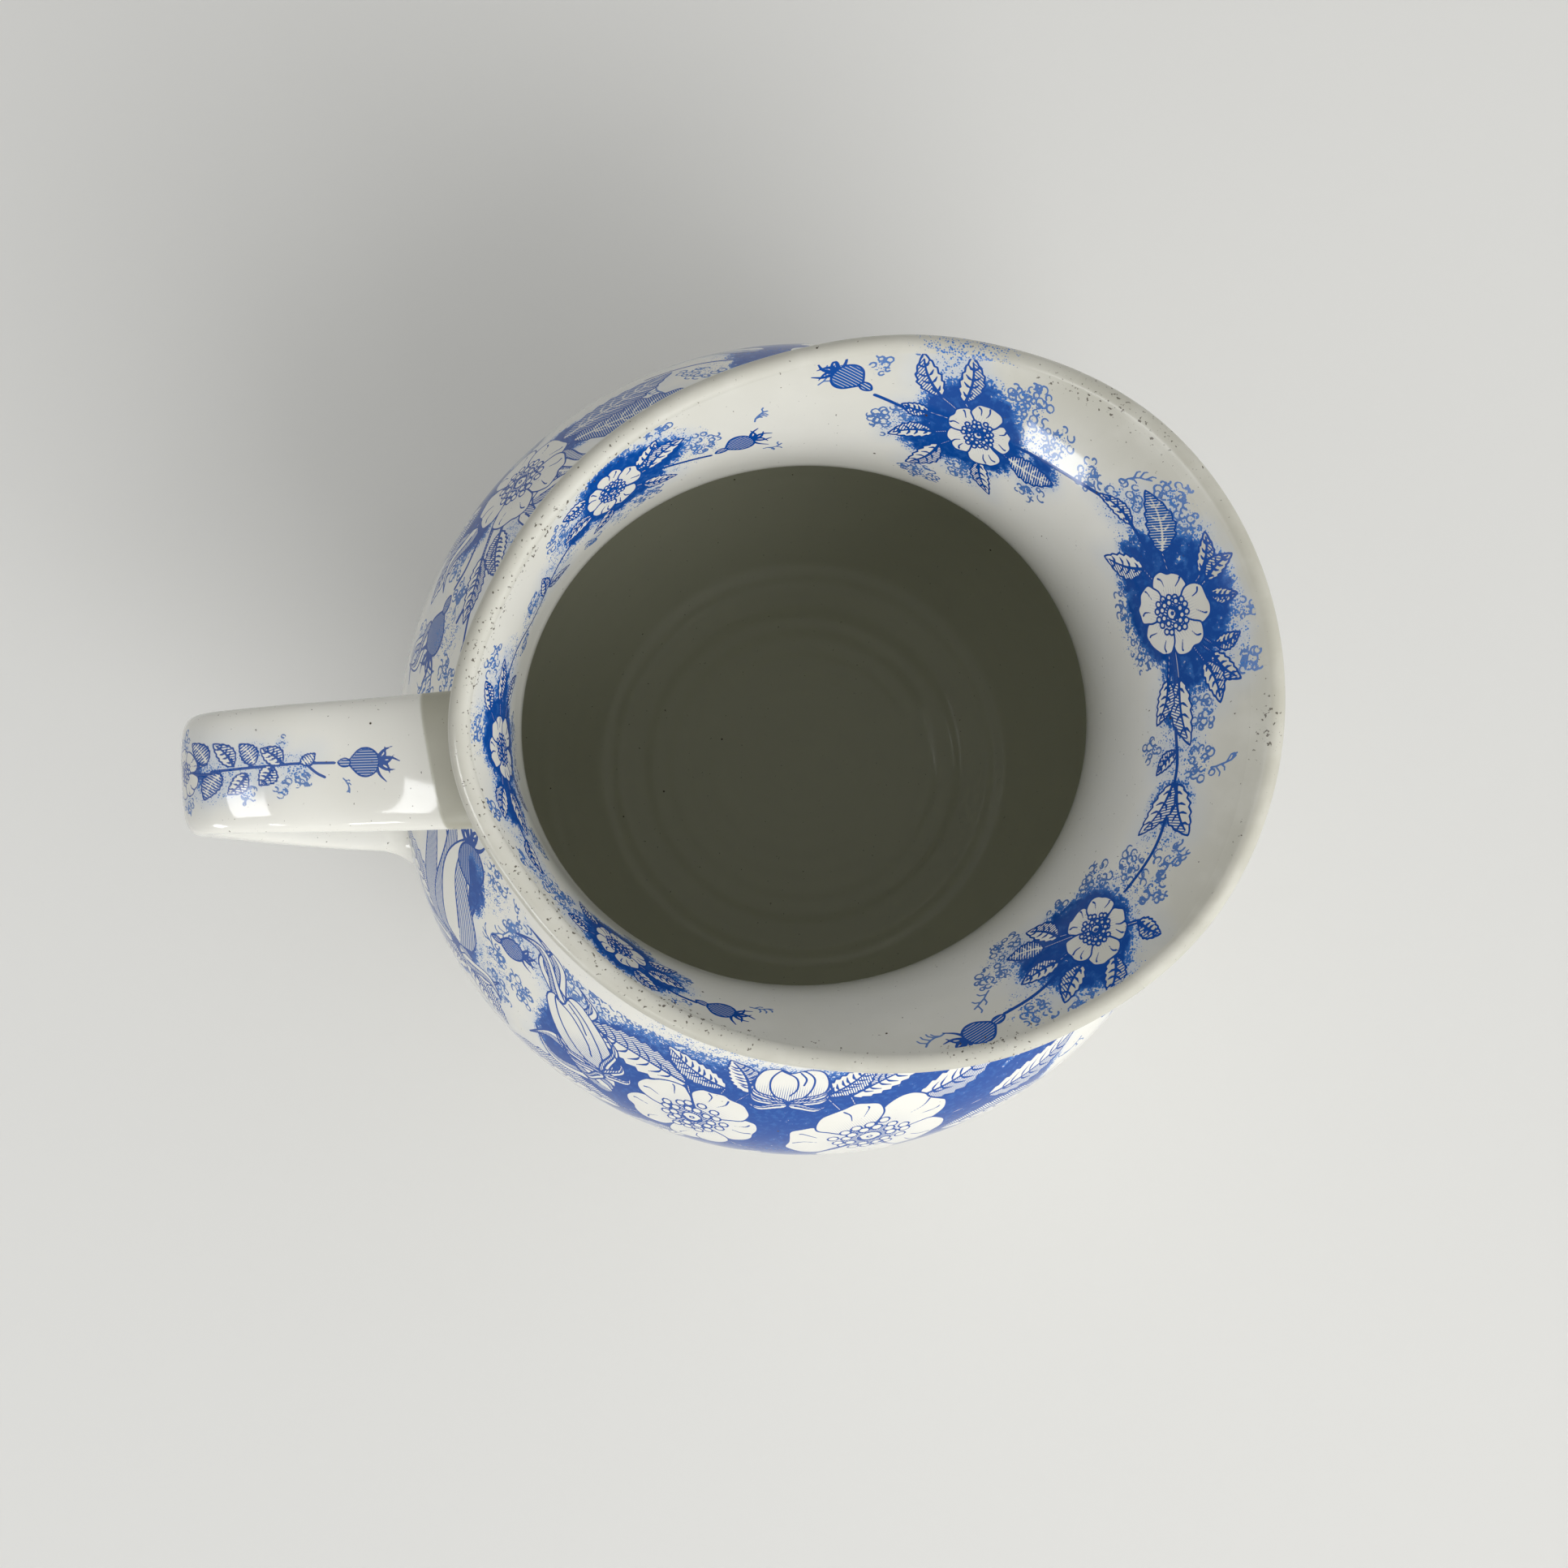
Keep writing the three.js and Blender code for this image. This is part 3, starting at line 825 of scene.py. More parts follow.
# The sprays of the print. Each has an anchor and a reach that holds all of it. Places are across and
# along: on the neck's inside, degrees from the middle of the lip and millimetres up from the throat;
# on the belly's outside, degrees and millimetres down from the shoulder; on the handle, millimetres
# off its middle line and along it from the neck. A rose has a place, radius and turn; a leaf its base,
# tip, width and dark side; a horn its base, tip, width and bow; a hip or bud its base, head and
# radius; moss, ground and mist a place and reach; a twig a place, heading and length.
NECK_SPRAYS = (
    {
        "at": (52.5, 33, 52),
        "stems": (((60, 31), (66, 32), (72, 34)), ((46, 36), (36, 40), (27, 45), (18, 47))),
        "leaves": (
            (57, 39, 59, 50, 5.2, 1), (61, 38, 66, 47, 5, -1), (46, 32, 37, 35, 5.6, 0),
            (60, 28, 68, 23, 4.6, 1), (58, 25, 63, 13, 5, -1), (50, 26, 45, 17, 4.4, 1),
            (62, 33, 67, 33, 3.6, -1),
        ),
        "roses": ((52.5, 33, 7.9, 0.3),),
        "hips": ((71, 34, 77.5, 38.5, 3.1),),
        "moss": (
            (60, 54, 5), (66, 52, 5), (48, 46, 6), (41, 44, 4), (68, 27, 5), (60, 10, 5), (40, 29, 4),
            (52, 20, 4), (34, 44, 3.5), (72, 42, 3),
        ),
        "ground": ((54, 34, 15), (60, 26, 9), (40, 36, 6)),
        "mist": ((60, 45, 9), (66, 28, 8), (44, 38, 9), (52, 20, 7)),
        "twigs": ((79, 44, 1.9, 6), (82, 36, 2.6, 6)),
    },
    {
        "at": (5, 48, 75),
        "stems": (((0, 46), (-8, 45.5), (-14, 46.5), (-20, 46), (-27, 45.5), (-35, 43)),),
        "leaves": (
            (18, 50, 27, 53, 6.4, 0), (17, 44, 22, 35, 5.8, -1), (13, 57, 18, 61, 3.6, 1),
            (12, 58, 14, 65, 3.8, -1), (10, 58, 9, 64, 3.4, 1), (2, 56, -2, 62, 4.2, 1),
            (1, 54, -5, 57, 4.4, -1), (3, 57, 4, 63, 3.4, 1), (-1, 47, -11, 49.5, 5.6, 1),
            (-1, 44, -8, 40, 4.8, -1), (24, 46, 31, 43, 3.6, 1), (-17, 47, -24, 52.5, 5.6, 1),
            (-17, 46, -26, 40, 5.6, -1), (-12, 46, -16, 41, 3.4, 1),
        ),
        "roses": ((9, 48, 9.4, 0.1),),
        "moss": (
            (19, 57, 5), (24, 58, 4), (7, 65, 3), (0, 64, 3), (12, 36, 5), (4, 36, 4), (28, 48, 4),
            (-6, 53, 4), (-14, 52, 4), (-28, 50, 4), (-12, 38, 3),
        ),
        "ground": ((11, 49, 17), (2, 50, 10), (20, 45, 7), (-5, 46, 7), (-20, 46, 7)),
        "mist": ((20, 56, 9), (5, 60, 9), (-12, 47, 10), (26, 47, 9), (8, 36, 8), (-24, 46, 8)),
        "twigs": ((-14, 55, 1.3, 6), (30, 50, 1.0, 6)),
    },
    {
        "at": (-48, 42, 52),
        "stems": (((-50, 42), (-56, 42.5), (-62, 42)),),
        "leaves": (
            (-47, 35, -50, 26, 5, 1), (-50, 34, -56, 29, 5, 0), (-48, 45, -54, 49, 5, 1),
            (-44, 50, -49, 55, 4.8, -1), (-50, 40, -57, 38, 4.4, 1), (-38, 50, -38, 56, 4.2, 1),
        ),
        "roses": ((-42.5, 42, 7.9, 0.7),),
        "hips": ((-61, 42, -67.5, 43.5, 3.1),),
        "moss": (
            (-60, 31, 4), (-55, 24, 4), (-33, 49, 4), (-36, 34, 5), (-43, 30, 4), (-58, 47, 3.5),
            (-31, 41, 4), (-52, 52, 3),
        ),
        "ground": ((-45, 41, 15), (-52, 36, 8)),
        "mist": ((-55, 30, 9), (-36, 42, 10), (-46, 54, 9), (-58, 44, 7)),
        "twigs": ((-62, 34, 2.4, 6), (-72, 40, 3.0, 6)),
    },
    {
        "at": (125, 24, 60),
        "stems": (
            ((117, 23), (110, 20), (104, 18)), ((132, 23), (142, 21), (153, 15.5), (161, 21), (171, 24)),
        ),
        "leaves": (
            (119, 27, 113, 33, 4.6, 1), (117, 25, 108, 29, 4.8, -1), (119, 20, 112, 15, 4.2, 1),
            (130, 31, 136, 33, 4.2, -1), (131, 24, 139, 25, 4.2, 1), (127, 19, 133, 14, 3.8, -1),
            (147, 18, 141, 12, 3.6, 1), (149, 17, 147, 25, 3.6, 1),
        ),
        "roses": ((125, 26, 7.4, 0.5),),
        "hips": ((104, 18, 97, 20, 2.9),),
        "moss": (
            (112, 36, 3), (121, 36, 3), (105, 25, 4), (139, 30, 4), (119, 12, 3.5), (134, 10, 3),
            (152, 22, 3.5), (159, 15, 3),
        ),
        "ground": ((123, 26, 14), (113, 27, 8), (135, 23, 7)),
        "mist": ((110, 25, 11), (140, 23, 11), (153, 19, 9), (125, 12, 9), (164, 23, 9), (124, 37, 8)),
        "twigs": ((94, 27, 1.6, 5), (93, 15, 3.4, 5)),
    },
    {
        "at": (180, 24, 55),
        "stems": (((-171, 27), (-163, 28.5), (-154, 30)),),
        "leaves": (
            (-172, 29, -166, 34, 4.8, 1), (-171, 25, -162, 26, 5, -1), (174, 31, 169, 35, 4.2, 1),
            (172, 20, 166, 14, 4.2, -1), (-161, 28, -154, 31, 4.2, 1), (172, 26, 164, 28, 4, 1),
            (-173, 18, -167, 13, 4, 1),
        ),
        "roses": ((-179, 24.5, 7.4, 0.2),),
        "moss": (
            (-168, 38, 2.5), (178, 36, 3), (165, 33, 3.5), (-158, 34, 3), (-150, 31, 4), (-160, 20, 4),
            (176, 12, 3), (-175, 12, 3),
        ),
        "ground": ((179, 25, 13), (-169, 27, 9), (170, 25, 7)),
        "mist": ((-164, 28, 10), (-153, 31, 8), (170, 25, 11), (179, 12, 8), (177, 37, 8)),
        "twigs": ((-148, 32, 0.6, 4),),
    },
    {
        "at": (-127, 28, 40),
        "stems": (((-127, 29), (-121, 31), (-116, 31)),),
        "leaves": (
            (-129, 31, -123, 34, 4.4, 1), (-127, 28, -119, 27, 4.6, -1), (-140, 31, -145, 33, 4, 1),
            (-140, 24, -146, 20, 4, -1), (-128, 23, -122, 19, 4, 1),
        ),
        "roses": ((-134, 26, 7.0, 0.9),),
        "hips": ((-116.5, 30, -110.5, 30.5, 2.8),),
        "moss": ((-118, 34, 2.5), (-146, 28, 3.5), (-132, 15, 4), (-121, 22, 3)),
        "ground": ((-134, 26, 13), (-124, 28, 8)),
        "mist": ((-145, 29, 9), (-122, 28, 9), (-133, 14, 7)),
        "twigs": ((-106, 26, 0.2, 5), (-147, 30, 2.9, 4)),
    },
)
BELLY_SPRAYS = (
    {
        "at": (-105, 36, 110),
        "stems": (((-105, 50), (-100, 34), (-97, 20)), ((-128, 34), (-122, 26), (-114, 18))),
        "leaves": (
            (-114, 18, -134, 15, 14, 1), (-108, 15, -119, 3, 9.5, -1), (-104, 15, -108, 0, 9, 1),
            (-88, 16, -73, 7, 11.5, -1), (-92, 15, -83, 1, 10, 1), (-78, 24, -60, 14, 13, 1),
            (-122, 50, -142, 58, 14, 1), (-76, 52, -58, 62, 13.5, -1), (-68, 40, -51, 36, 13, 1),
            (-101, 56, -108, 76, 13.5, -1), (-88, 62, -82, 82, 13, 1), (-112, 50, -122, 70, 11, 1),
        ),
        "horns": (
            (-136, 19, -150, 1, 6, 0.26), (-136, 18, -144, -1, 6, -0.22), (-135, 18, -151, 9, 5, 0.3),
            (-134, 18, -137, 3, 5, 0.25), (-124, 36, -137, 27, 6, 0.25), (-124, 38, -139, 33, 6, -0.25),
            (-124, 40, -139, 40, 6, 0.25),
        ),
        "buds": ((-126, 34, -138, 13, 8.5), (-98, 20, -97, 2, 9)),
        "roses": ((-112, 35, 18.5, 0.2), (-86, 41, 21.5, 0.5)),
        "moss": (
            (-130, 6, 8), (-123, 3, 7), (-140, 8, 6), (-114, 1, 6), (-79, 2, 5), (-70, 6, 6),
            (-62, 24, 6), (-118, 8, 6), (-134, 10, 5), (-145, 3, 6), (-153, 0, 5), (-137, 1, 6),
            (-106, 2, 5), (-150, 12, 5), (-144, 26, 5), (-147, 36, 6),
        ),
        "ground": ((-110, 34, 42), (-86, 38, 44), (-128, 30, 22), (-66, 40, 22), (-98, 62, 34)),
        "mist": ((-128, 4, 13), (-110, 2, 11), (-145, 8, 12), (-60, 30, 12)),
        "twigs": ((-150, 22, 2.2, 9), (-54, 26, 0.4, 9), (-147, 14, 2.6, 8)),
    },
    {
        "at": (-163, 32, 60),
        "stems": (((-155, 48), (-156, 34), (-158, 22)),),
        "leaves": ((-152, 46, -160, 62, 11, 1), (-153, 44, -142, 52, 9, -1), (-160, 46, -176, 54, 11, 1)),
        "horns": (
            (-157, 44, -184, 26, 16, 0.12), (-156, 42, -179, 12, 17, 0.1), (-155, 41, -168, 6, 15, -0.1),
            (-155, 43, -147, 33, 5, 0.2), (-154, 44, -145, 40, 5, -0.2), (-156, 46, -167, 50, 5, -0.25),
        ),
        "hips": ((-158.5, 21, -165, 13, 5.6), (-153, 20, -149, 15, 3.4)),
        "moss": (
            (-150, 24, 4), (-175, 3, 5), (-186, 10, 6), (-191, 30, 6), (-152, 8, 4), (-160, 3, 5),
            (-168, -1, 5), (-182, 20, 5), (-176, 33, 6), (-170, 60, 5), (-146, 60, 5),
        ),
        "ground": ((-158, 44, 16), (-163, 20, 12)),
        "mist": ((-160, 8, 12), (-180, 26, 12), (-150, 30, 10)),
        "twigs": ((-152, 12, 1.4, 8),),
    },
    {
        "at": (133, 34, 75),
        "stems": (
            ((141, 31), (147, 28), (151, 29)), ((140, 27), (150, 17), (160, 12)), ((150, 17), (156, 20)),
        ),
        "leaves": (
            (122, 28, 98, 20, 15, 0), (123, 34, 104, 40, 13, 0), (140, 21, 147, 9, 8.5, 1),
            (145, 22, 156, 16, 8, -1), (127, 19, 121, 8, 9.5, 0), (142, 38, 154, 43, 9.5, 1),
            (131, 47, 125, 62, 12, 0), (138, 46, 148, 60, 11, -1),
        ),
        "horns": (
            (126, 26, 119, 14, 7, 0.2), (141, 36, 152, 36, 6, 0.2), (158, 34, 166, 44, 5, 0.25),
            (157, 35, 163, 48, 5, -0.2), (136, 18, 132, 3, 6, 0.2), (133, 18, 126, 5, 6, -0.2),
        ),
        "roses": ((132, 32, 16, 0.4),),
        "hips": ((151, 29, 159, 31, 5.2), (158, 13, 165, 9, 3.6)),
        "moss": (
            (112, 10, 6), (136, 4, 6), (165, 18, 5), (160, 40, 6), (100, 32, 6), (148, 33, 4),
            (120, 1, 6), (128, 1, 5), (146, 1, 5), (107, 20, 6), (156, 5, 5), (172, 10, 6), (174, 27, 7),
            (151, 25, 4),
        ),
        "ground": ((122, 32, 11), (141, 38, 12), (136, 48, 14)),
        "mist": ((140, 12, 13), (158, 24, 11), (115, 8, 12)),
        "twigs": ((164, 26, 0.6, 12), (168, 8, 0.9, 9), (150, 20, 0.9, 10)),
    },
    {
        "at": (75, 42, 80),
        "stems": (((92, 34), (100, 40), (108, 43)), ((62, 40), (50, 33), (40, 34))),
        "leaves": (
            (86, 28, 98, 16, 12, 1), (66, 30, 54, 20, 12, -1), (64, 52, 50, 62, 13, 1),
            (88, 54, 101, 66, 12, -1), (77, 62, 78, 82, 13, 1), (78, 22, 80, 4, 11, -1),
            (66, 60, 60, 78, 11, 1),
        ),
        "horns": ((70, 24, 66, 6, 5, 0.15), (90, 44, 104, 50, 6, 0.12)),
        "roses": ((76, 42, 20, 0.8),),
        "hips": ((94, 22, 101, 15, 4.2),),
        "moss": (
            (68, 6, 6), (90, 8, 6), (58, 40, 8), (98, 56, 8), (88, 76, 6), (64, 22, 8), (90, 26, 8),
            (60, 64, 8),
        ),
        "ground": ((76, 42, 38), (76, 68, 20)),
        "mist": ((76, 16, 18), (60, 34, 18), (60, 58, 17), (92, 40, 18), (90, 64, 17), (76, 84, 14)),
        "twigs": ((106, 24, 0.8, 9),),
    },
    {
        "at": (0, 40, 110),
        "stems": (
            ((-4, 36), (-2, 50), (2, 66)), ((-32, 40), (-42, 33), (-50, 34)), ((32, 38), (40, 30), (48, 28)),
        ),
        "leaves": (
            (-28, 26, -40, 14, 12, 1), (-12, 24, -8, 6, 11, -1), (8, 22, 2, 6, 10, 1),
            (24, 20, 34, 8, 11, -1), (-32, 48, -47, 56, 13, 1), (32, 44, 44, 52, 12, -1),
            (-12, 58, -20, 76, 12, 1), (-2, 76, -6, 96, 12, -1), (14, 78, 24, 92, 12, 1),
            (20, 62, 36, 70, 12, -1), (-20, 60, -38, 72, 12, 1),
        ),
        "horns": ((-20, 22, -24, 4, 6, 0.15), (-18, 22, -16, 6, 5, -0.15), (16, 20, 20, 2, 5, 0.15)),
        "roses": ((-20, 42, 20, 0.1), (16, 38, 17.5, 0.6), (4, 70, 16, 0.3)),
        "hips": ((-42, 33, -49, 30, 4.4), (40, 30, 47, 26, 4.2)),
        "moss": (
            (-46, 44, 6), (-4, 8, 5), (30, 22, 8), (44, 40, 6), (-44, 22, 7), (-32, 84, 6), (30, 82, 6),
            (-2, 22, 8), (-40, 54, 8), (33, 52, 8), (-20, 68, 9), (24, 68, 8), (4, 92, 7), (-30, 14, 8),
        ),
        "ground": ((-20, 42, 38), (16, 40, 32), (2, 66, 32)),
        "mist": (
            (-20, 16, 18), (-38, 34, 17), (-36, 58, 18), (14, 16, 16), (34, 30, 16), (32, 56, 17),
            (-14, 78, 17), (20, 80, 17), (-2, 20, 14), (3, 94, 12),
        ),
        "twigs": ((50, 44, 0.4, 9), (-52, 46, 2.6, 9)),
    },
)
HANDLE_SPRAYS = (
    {
        "at": (0, 62, 60),
        "stems": (((-0.6, 48), (-0.8, 56), (-0.6, 62), (0, 76)), ((-0.8, 55), (1.5, 52.5), (2.6, 50.5))),
        "leaves": (
            (-1, 60, -4.6, 64.5, 4.2, 1), (-0.4, 62, 3.8, 65, 4.2, -1), (-1.2, 66, -6, 69.5, 4.2, 0),
            (1, 68, 5.5, 72.5, 4, -1), (-1, 71, -6.4, 75.5, 4, 1), (-0.8, 56, -3, 52.6, 2.6, 0),
            (0.6, 74, 6.4, 78, 4.4, 0), (-2, 77, -7, 81, 4, 0),
        ),
        "roses": ((-0.4, 85, 6, 0.4),),
        "hips": ((-0.6, 48.5, -0.4, 39.5, 3.2),),
        "moss": (
            (3.4, 55.5, 2), (4.6, 60, 2), (6, 68, 2.2), (-5.6, 60, 1.8), (7, 84, 3), (-8, 85, 2.6),
            (5, 92, 3), (-5, 92, 2.6),
        ),
        "ground": ((0, 72, 2.5), (0, 80, 5)),
        "mist": ((0, 57, 5), (-1, 66, 7), (1, 76, 9), (-1, 88, 10)),
        "twigs": ((3, 46, -0.8, 4),),
    },
    {
        "at": (0, 115, 55),
        "stems": (((0, 91), (0.6, 100), (-0.8, 116), (0.4, 130)),),
        "leaves": (
            (1, 92, 7, 97, 5, 1), (-1, 93, -7, 98, 5, -1), (0, 104, 5.5, 110, 4.6, 1),
            (-1, 108, -6, 114, 4.6, 0), (0, 122, 5, 128, 4.2, 1), (0, 126, -4.5, 132, 4.2, -1),
            (0.4, 130, 1, 138, 4, 1),
        ),
        "hips": ((0.2, 131, -1.5, 140, 2.8),),
        "moss": ((7, 104, 3), (-8, 106, 3), (6, 120, 3), (-6, 123, 3)),
        "ground": ((0, 97, 5),),
        "mist": ((0, 100, 9), (0, 112, 8), (0, 126, 8)),
        "twigs": ((2, 142, 1.2, 5),),
    },
    {
        "at": (14, 176, 20),
        "leaves": ((14, 174, 17, 179, 3.4, 0), (12, 178, 15, 182, 3.2, -1)),
        "moss": ((10, 176, 2.4),),
    },
)

# How far from a rose's centre a leaf may stand on a white stem of that rose, in the rose's radii, and
# the widths of stems in pens
STEM_REACH = 1.9
WHITE_STEM_PENS = 1.7
STEM_PENS = 2

# The motifs of a spray in the order in which they are drawn: their function, how many places each
# starts with, and the first seed of those that are drawn by lot
MOTIFS = (
    ("leaves", leaf, 2, None),
    ("horns", horn, 2, None),
    ("buds", bud, 2, 20),
    ("roses", rose, 1, 0),
    ("hips", hip, 2, None),
    ("moss", moss, 1, 10),
    ("twigs", twig, 1, 40),
)


def print_spray(sheet, spray, pen, seed, solid, wide):
    """Draws a spray: its stems, its motifs over one another, then the ground and the mist."""
    across, along, reach = spray["at"]
    patch = Patch(sheet, (across, along), reach, pen)
    at = patch.at
    for path in spray.get("stems", ()):
        patch.stroke(spline([at(*place) for place in path]), STEM_PENS * pen)
    pairs = itertools.product(spray.get("leaves", ()), spray.get("roses", ()))
    for (a, t, *_), (c, v, radius, _) in pairs:
        if np.hypot(*(at(a, t) - at(c, v))) < STEM_REACH * radius:
            white_stem(patch, at(c, v), at(a, t), WHITE_STEM_PENS * pen)
    for kind, draw, places, first_seed in MOTIFS:
        for k, motif in enumerate(spray.get(kind, ())):
            ends = [at(*motif[i : i + 2]) for i in range(0, 2 * places, 2)]
            lot = () if first_seed is None else (seed + first_seed + k,)
            draw(patch, *ends, *motif[2 * places :], *lot)
    for a, t, spread in spray.get("ground", ()):
        lay_ground(patch, at(a, t), spread, solid, wide)
    for a, t, spread in spray.get("mist", ()):
        lay_mist(patch, at(a, t), spread)
    patch.keep()


def print_sprays(sheet, sprays, pen, seed, solid, wide):
    """Draws sprays on a sheet, and returns its fields."""
    for k, spray in enumerate(sprays):
        print_spray(sheet, spray, pen, seed + SEEDS_APART * k, solid, wide)
    return sheet.fields


def body_sheet(band, start):
    """The sheet of a band of the body. start is the row at which its distances begin."""
    steps = np.linalg.norm(np.diff(band.points, axis=0), axis=-1)
    along = np.vstack([np.zeros_like(steps[:1]), np.cumsum(steps, 0)])
    across = np.broadcast_to(np.degrees(band.angle), along.shape)
    return Sheet(across, along - along[start], band.points[..., 0] * math.pi / 180, 360.0)


def row_faces(first, second, above, below):
    """Faces between two closed rows of vertices: their corners, how far round each corner is from 0
    to 1, and whether it is on the second row. One row may have twice the other's vertices, and a
    face then takes five corners."""
    count = min(above, below)
    j = np.arange(count)
    k = (j + 1) % count
    a, b = above // count, below // count
    corners = [(first + a * j, 0, 0), (second + b * j, 0, 1)]
    if b == 2:
        corners.append((second + 2 * j + 1, 0.5, 1))
    corners += [(second + b * k, 1, 1), (first + a * k, 1, 0)]
    if a == 2:
        corners.append((first + 2 * j + 1, 0.5, 0))
    places, turns, sides = zip(*corners)
    return np.stack(places, -1), (j[:, None] + np.array(turns)) / count, np.array(sides)


def tube_mesh(name, rows, up, poles, fields, flip=False):
    """A mesh object of closed rows of points in millimetres, with a pole beyond either end. up is each
    row's height on the texture, and fields holds each attribute's values, point by point."""
    starts = np.cumsum([1, *map(len, rows)])
    kinds = {3: [], 4: [], 5: []}

    def add(corners, u, v):
        uv = np.stack([u, np.broadcast_to(v, u.shape)], -1)
        if flip:
            corners, uv = (np.roll(values[:, ::-1], 1, axis=1) for values in (corners, uv))
        kinds[corners.shape[1]].append((corners, uv))

    for i in range(len(rows) - 1):
        corners, turns, second = row_faces(starts[i], starts[i + 1], len(rows[i]), len(rows[i + 1]))
        add(corners, turns, np.where(second, up[i + 1], up[i]))
    for end, pole, v, way_round in ((0, 0, 0.0, 1), (len(rows) - 1, starts[-1], 1.0, -1)):
        count = len(rows[end])
        j = np.arange(count)
        fan = np.stack([np.full(count, pole), starts[end] + j, starts[end] + (j + 1) % count], -1)
        turns = (j[:, None] + np.array([0.5, 0, 1])) / count
        edge = np.array([v, up[end], up[end]])
        add(fan[:, ::way_round], turns[:, ::way_round], edge[::way_round])
    faces, uvs = zip(*(map(np.concatenate, zip(*kind)) for kind in kinds.values() if kind))

    mesh = bpy.data.meshes.new(name)
    vertices = np.vstack([poles[:1], *rows, poles[1:]]) * MM
    mesh.vertices.add(len(vertices))
    mesh.vertices.foreach_set("co", np.ascontiguousarray(vertices, np.float32).ravel())
    loops = np.concatenate([f.ravel() for f in faces]).astype(np.int32)
    mesh.loops.add(len(loops))
    mesh.loops.foreach_set("vertex_index", loops)
    sizes = np.concatenate([np.full(len(f), f.shape[1]) for f in faces])
    mesh.polygons.add(len(sizes))
    mesh.polygons.foreach_set("loop_start", (np.cumsum(sizes) - sizes).astype(np.int32))
    mesh.polygons.foreach_set("use_smooth", np.ones(len(sizes), bool))
    layer = mesh.uv_layers.new(name="OFBake")
    layer.uv.foreach_set("vector", np.concatenate([uv.ravel() for uv in uvs]).astype(np.float32))
    for key, values in fields.items():
        made = mesh.attributes.new(key, "FLOAT", "POINT")
        made.data.foreach_set("value", np.r_[values[0], values, values[-1]].astype(np.float32))
    mesh.update(calc_edges=True)
    mesh.validate()
    piece = bpy.data.objects.new(name, mesh)
    bpy.context.scene.collection.objects.link(piece)
    return piece


# Every attribute of the surface: its print, the painted shade that darkens the glaze inside the body and on
# the handle's root, the painted grey shade at the rim and on the handle's root with the rougher glaze of the
# worn rim, its brown dirt, and how faint its print is
SURFACE = {**BLANK, "painted_shade": 0.0, "shade_and_wear": 0.0, "dirt": 0.0, "faint": 0.0}

# The part of the texture's height that the fan at each end takes
BODY_MARGIN = 0.004
HANDLE_MARGIN = 0.01


def body_mesh(bands):
    """The whole body as one closed mesh, with its fields as vertex attributes."""
    rows, profile, texels = [], [], []
    for band in bands.values():
        turn = np.stack([np.cos(band.angle), np.sin(band.angle)], -1)
        for points in band.points:
            rows.append(np.hstack([points[:, :1] * turn + (AXIS_X, 0), points[:, 1:]]))
            profile.append(points.mean(0))
            texels.append(band.texels)
    reach = np.r_[0, np.cumsum(np.linalg.norm(np.diff(profile, axis=0), axis=1) * texels[1:])]
    up = BODY_MARGIN + (1 - 2 * BODY_MARGIN) * reach / reach[-1]
    poles = [(AXIS_X, 0, row[0, 2]) for row in (rows[0], rows[-1])]
    fields = {
        key: np.concatenate([band.field(key, blank).ravel() for band in bands.values()])
        for key, blank in SURFACE.items()
    }
    return tube_mesh("glazed_jug_body", rows, up, poles, fields)


def outside_radius(height, angle):
    """The radius of the jug's outside at heights and angles, both arrays of one shape."""
    belly = outer_belly_points()[::-1]
    result = np.interp(height, belly[:, 1], belly[:, 0])
    neck = height > SHOULDER_HEIGHT
    curves = neck_curves(angle[neck])
    best, radius = np.full(neck.sum(), np.inf), np.zeros(neck.sum())
    for climb in np.linspace(0, 2, 400):
        row = np.broadcast_to(neck_row(curves, climb, HALF_WALL), (len(best), 2))
        miss = np.abs(row[:, 1] - height[neck])
        radius = np.where(miss < best, row[:, 0], radius)
        best = np.minimum(best, miss)
    result[neck] = radius
    return result


def clearance(points):
    """How far points are outside the jug, and their angles round its axis."""
    angle = np.arctan2(points[..., 1], points[..., 0])
    radius = np.hypot(points[..., 0], points[..., 1])
    return radius - outside_radius(points[..., 2], angle), angle


def catmull_rom(points, samples):
    """A smooth curve through points, with the spacing that follows the square root of their distance."""
    points = np.asarray(points, float)
    ends = (2 * points[0] - points[1], 2 * points[-1] - points[-2])
    padded = np.vstack([ends[0], points, ends[1]])
    curve = []
    for i in range(len(points) - 1):
        p0, p1, p2, p3 = padded[i : i + 4]
        d0, d1, d2 = (np.linalg.norm(b - a) ** 0.5 for a, b in ((p0, p1), (p1, p2), (p2, p3)))
        m1 = ((p1 - p0) / d0 - (p2 - p0) / (d0 + d1) + (p2 - p1) / d1) * d1
        m2 = ((p2 - p1) / d1 - (p3 - p1) / (d1 + d2) + (p3 - p2) / d2) * d1
        t = np.linspace(0, 1, samples, endpoint=False)[:, None]
        bend = 2 * t**3 - 3 * t**2
        curve.append((bend + 1) * p1 + (t**3 - 2 * t**2 + t) * m1 - bend * p2 + (t**3 - t**2) * m2)
    return np.vstack([*curve, points[-1:]])


# The strap's mesh, the slip worked round its roots, and how deep the roots sink into the jug
STRAP_STEPS = 620
STRAP_SIDES = 220
SLIP_SWELL = 3.2
SLIP_REACH = 8
ROOT_SINK = 1.8


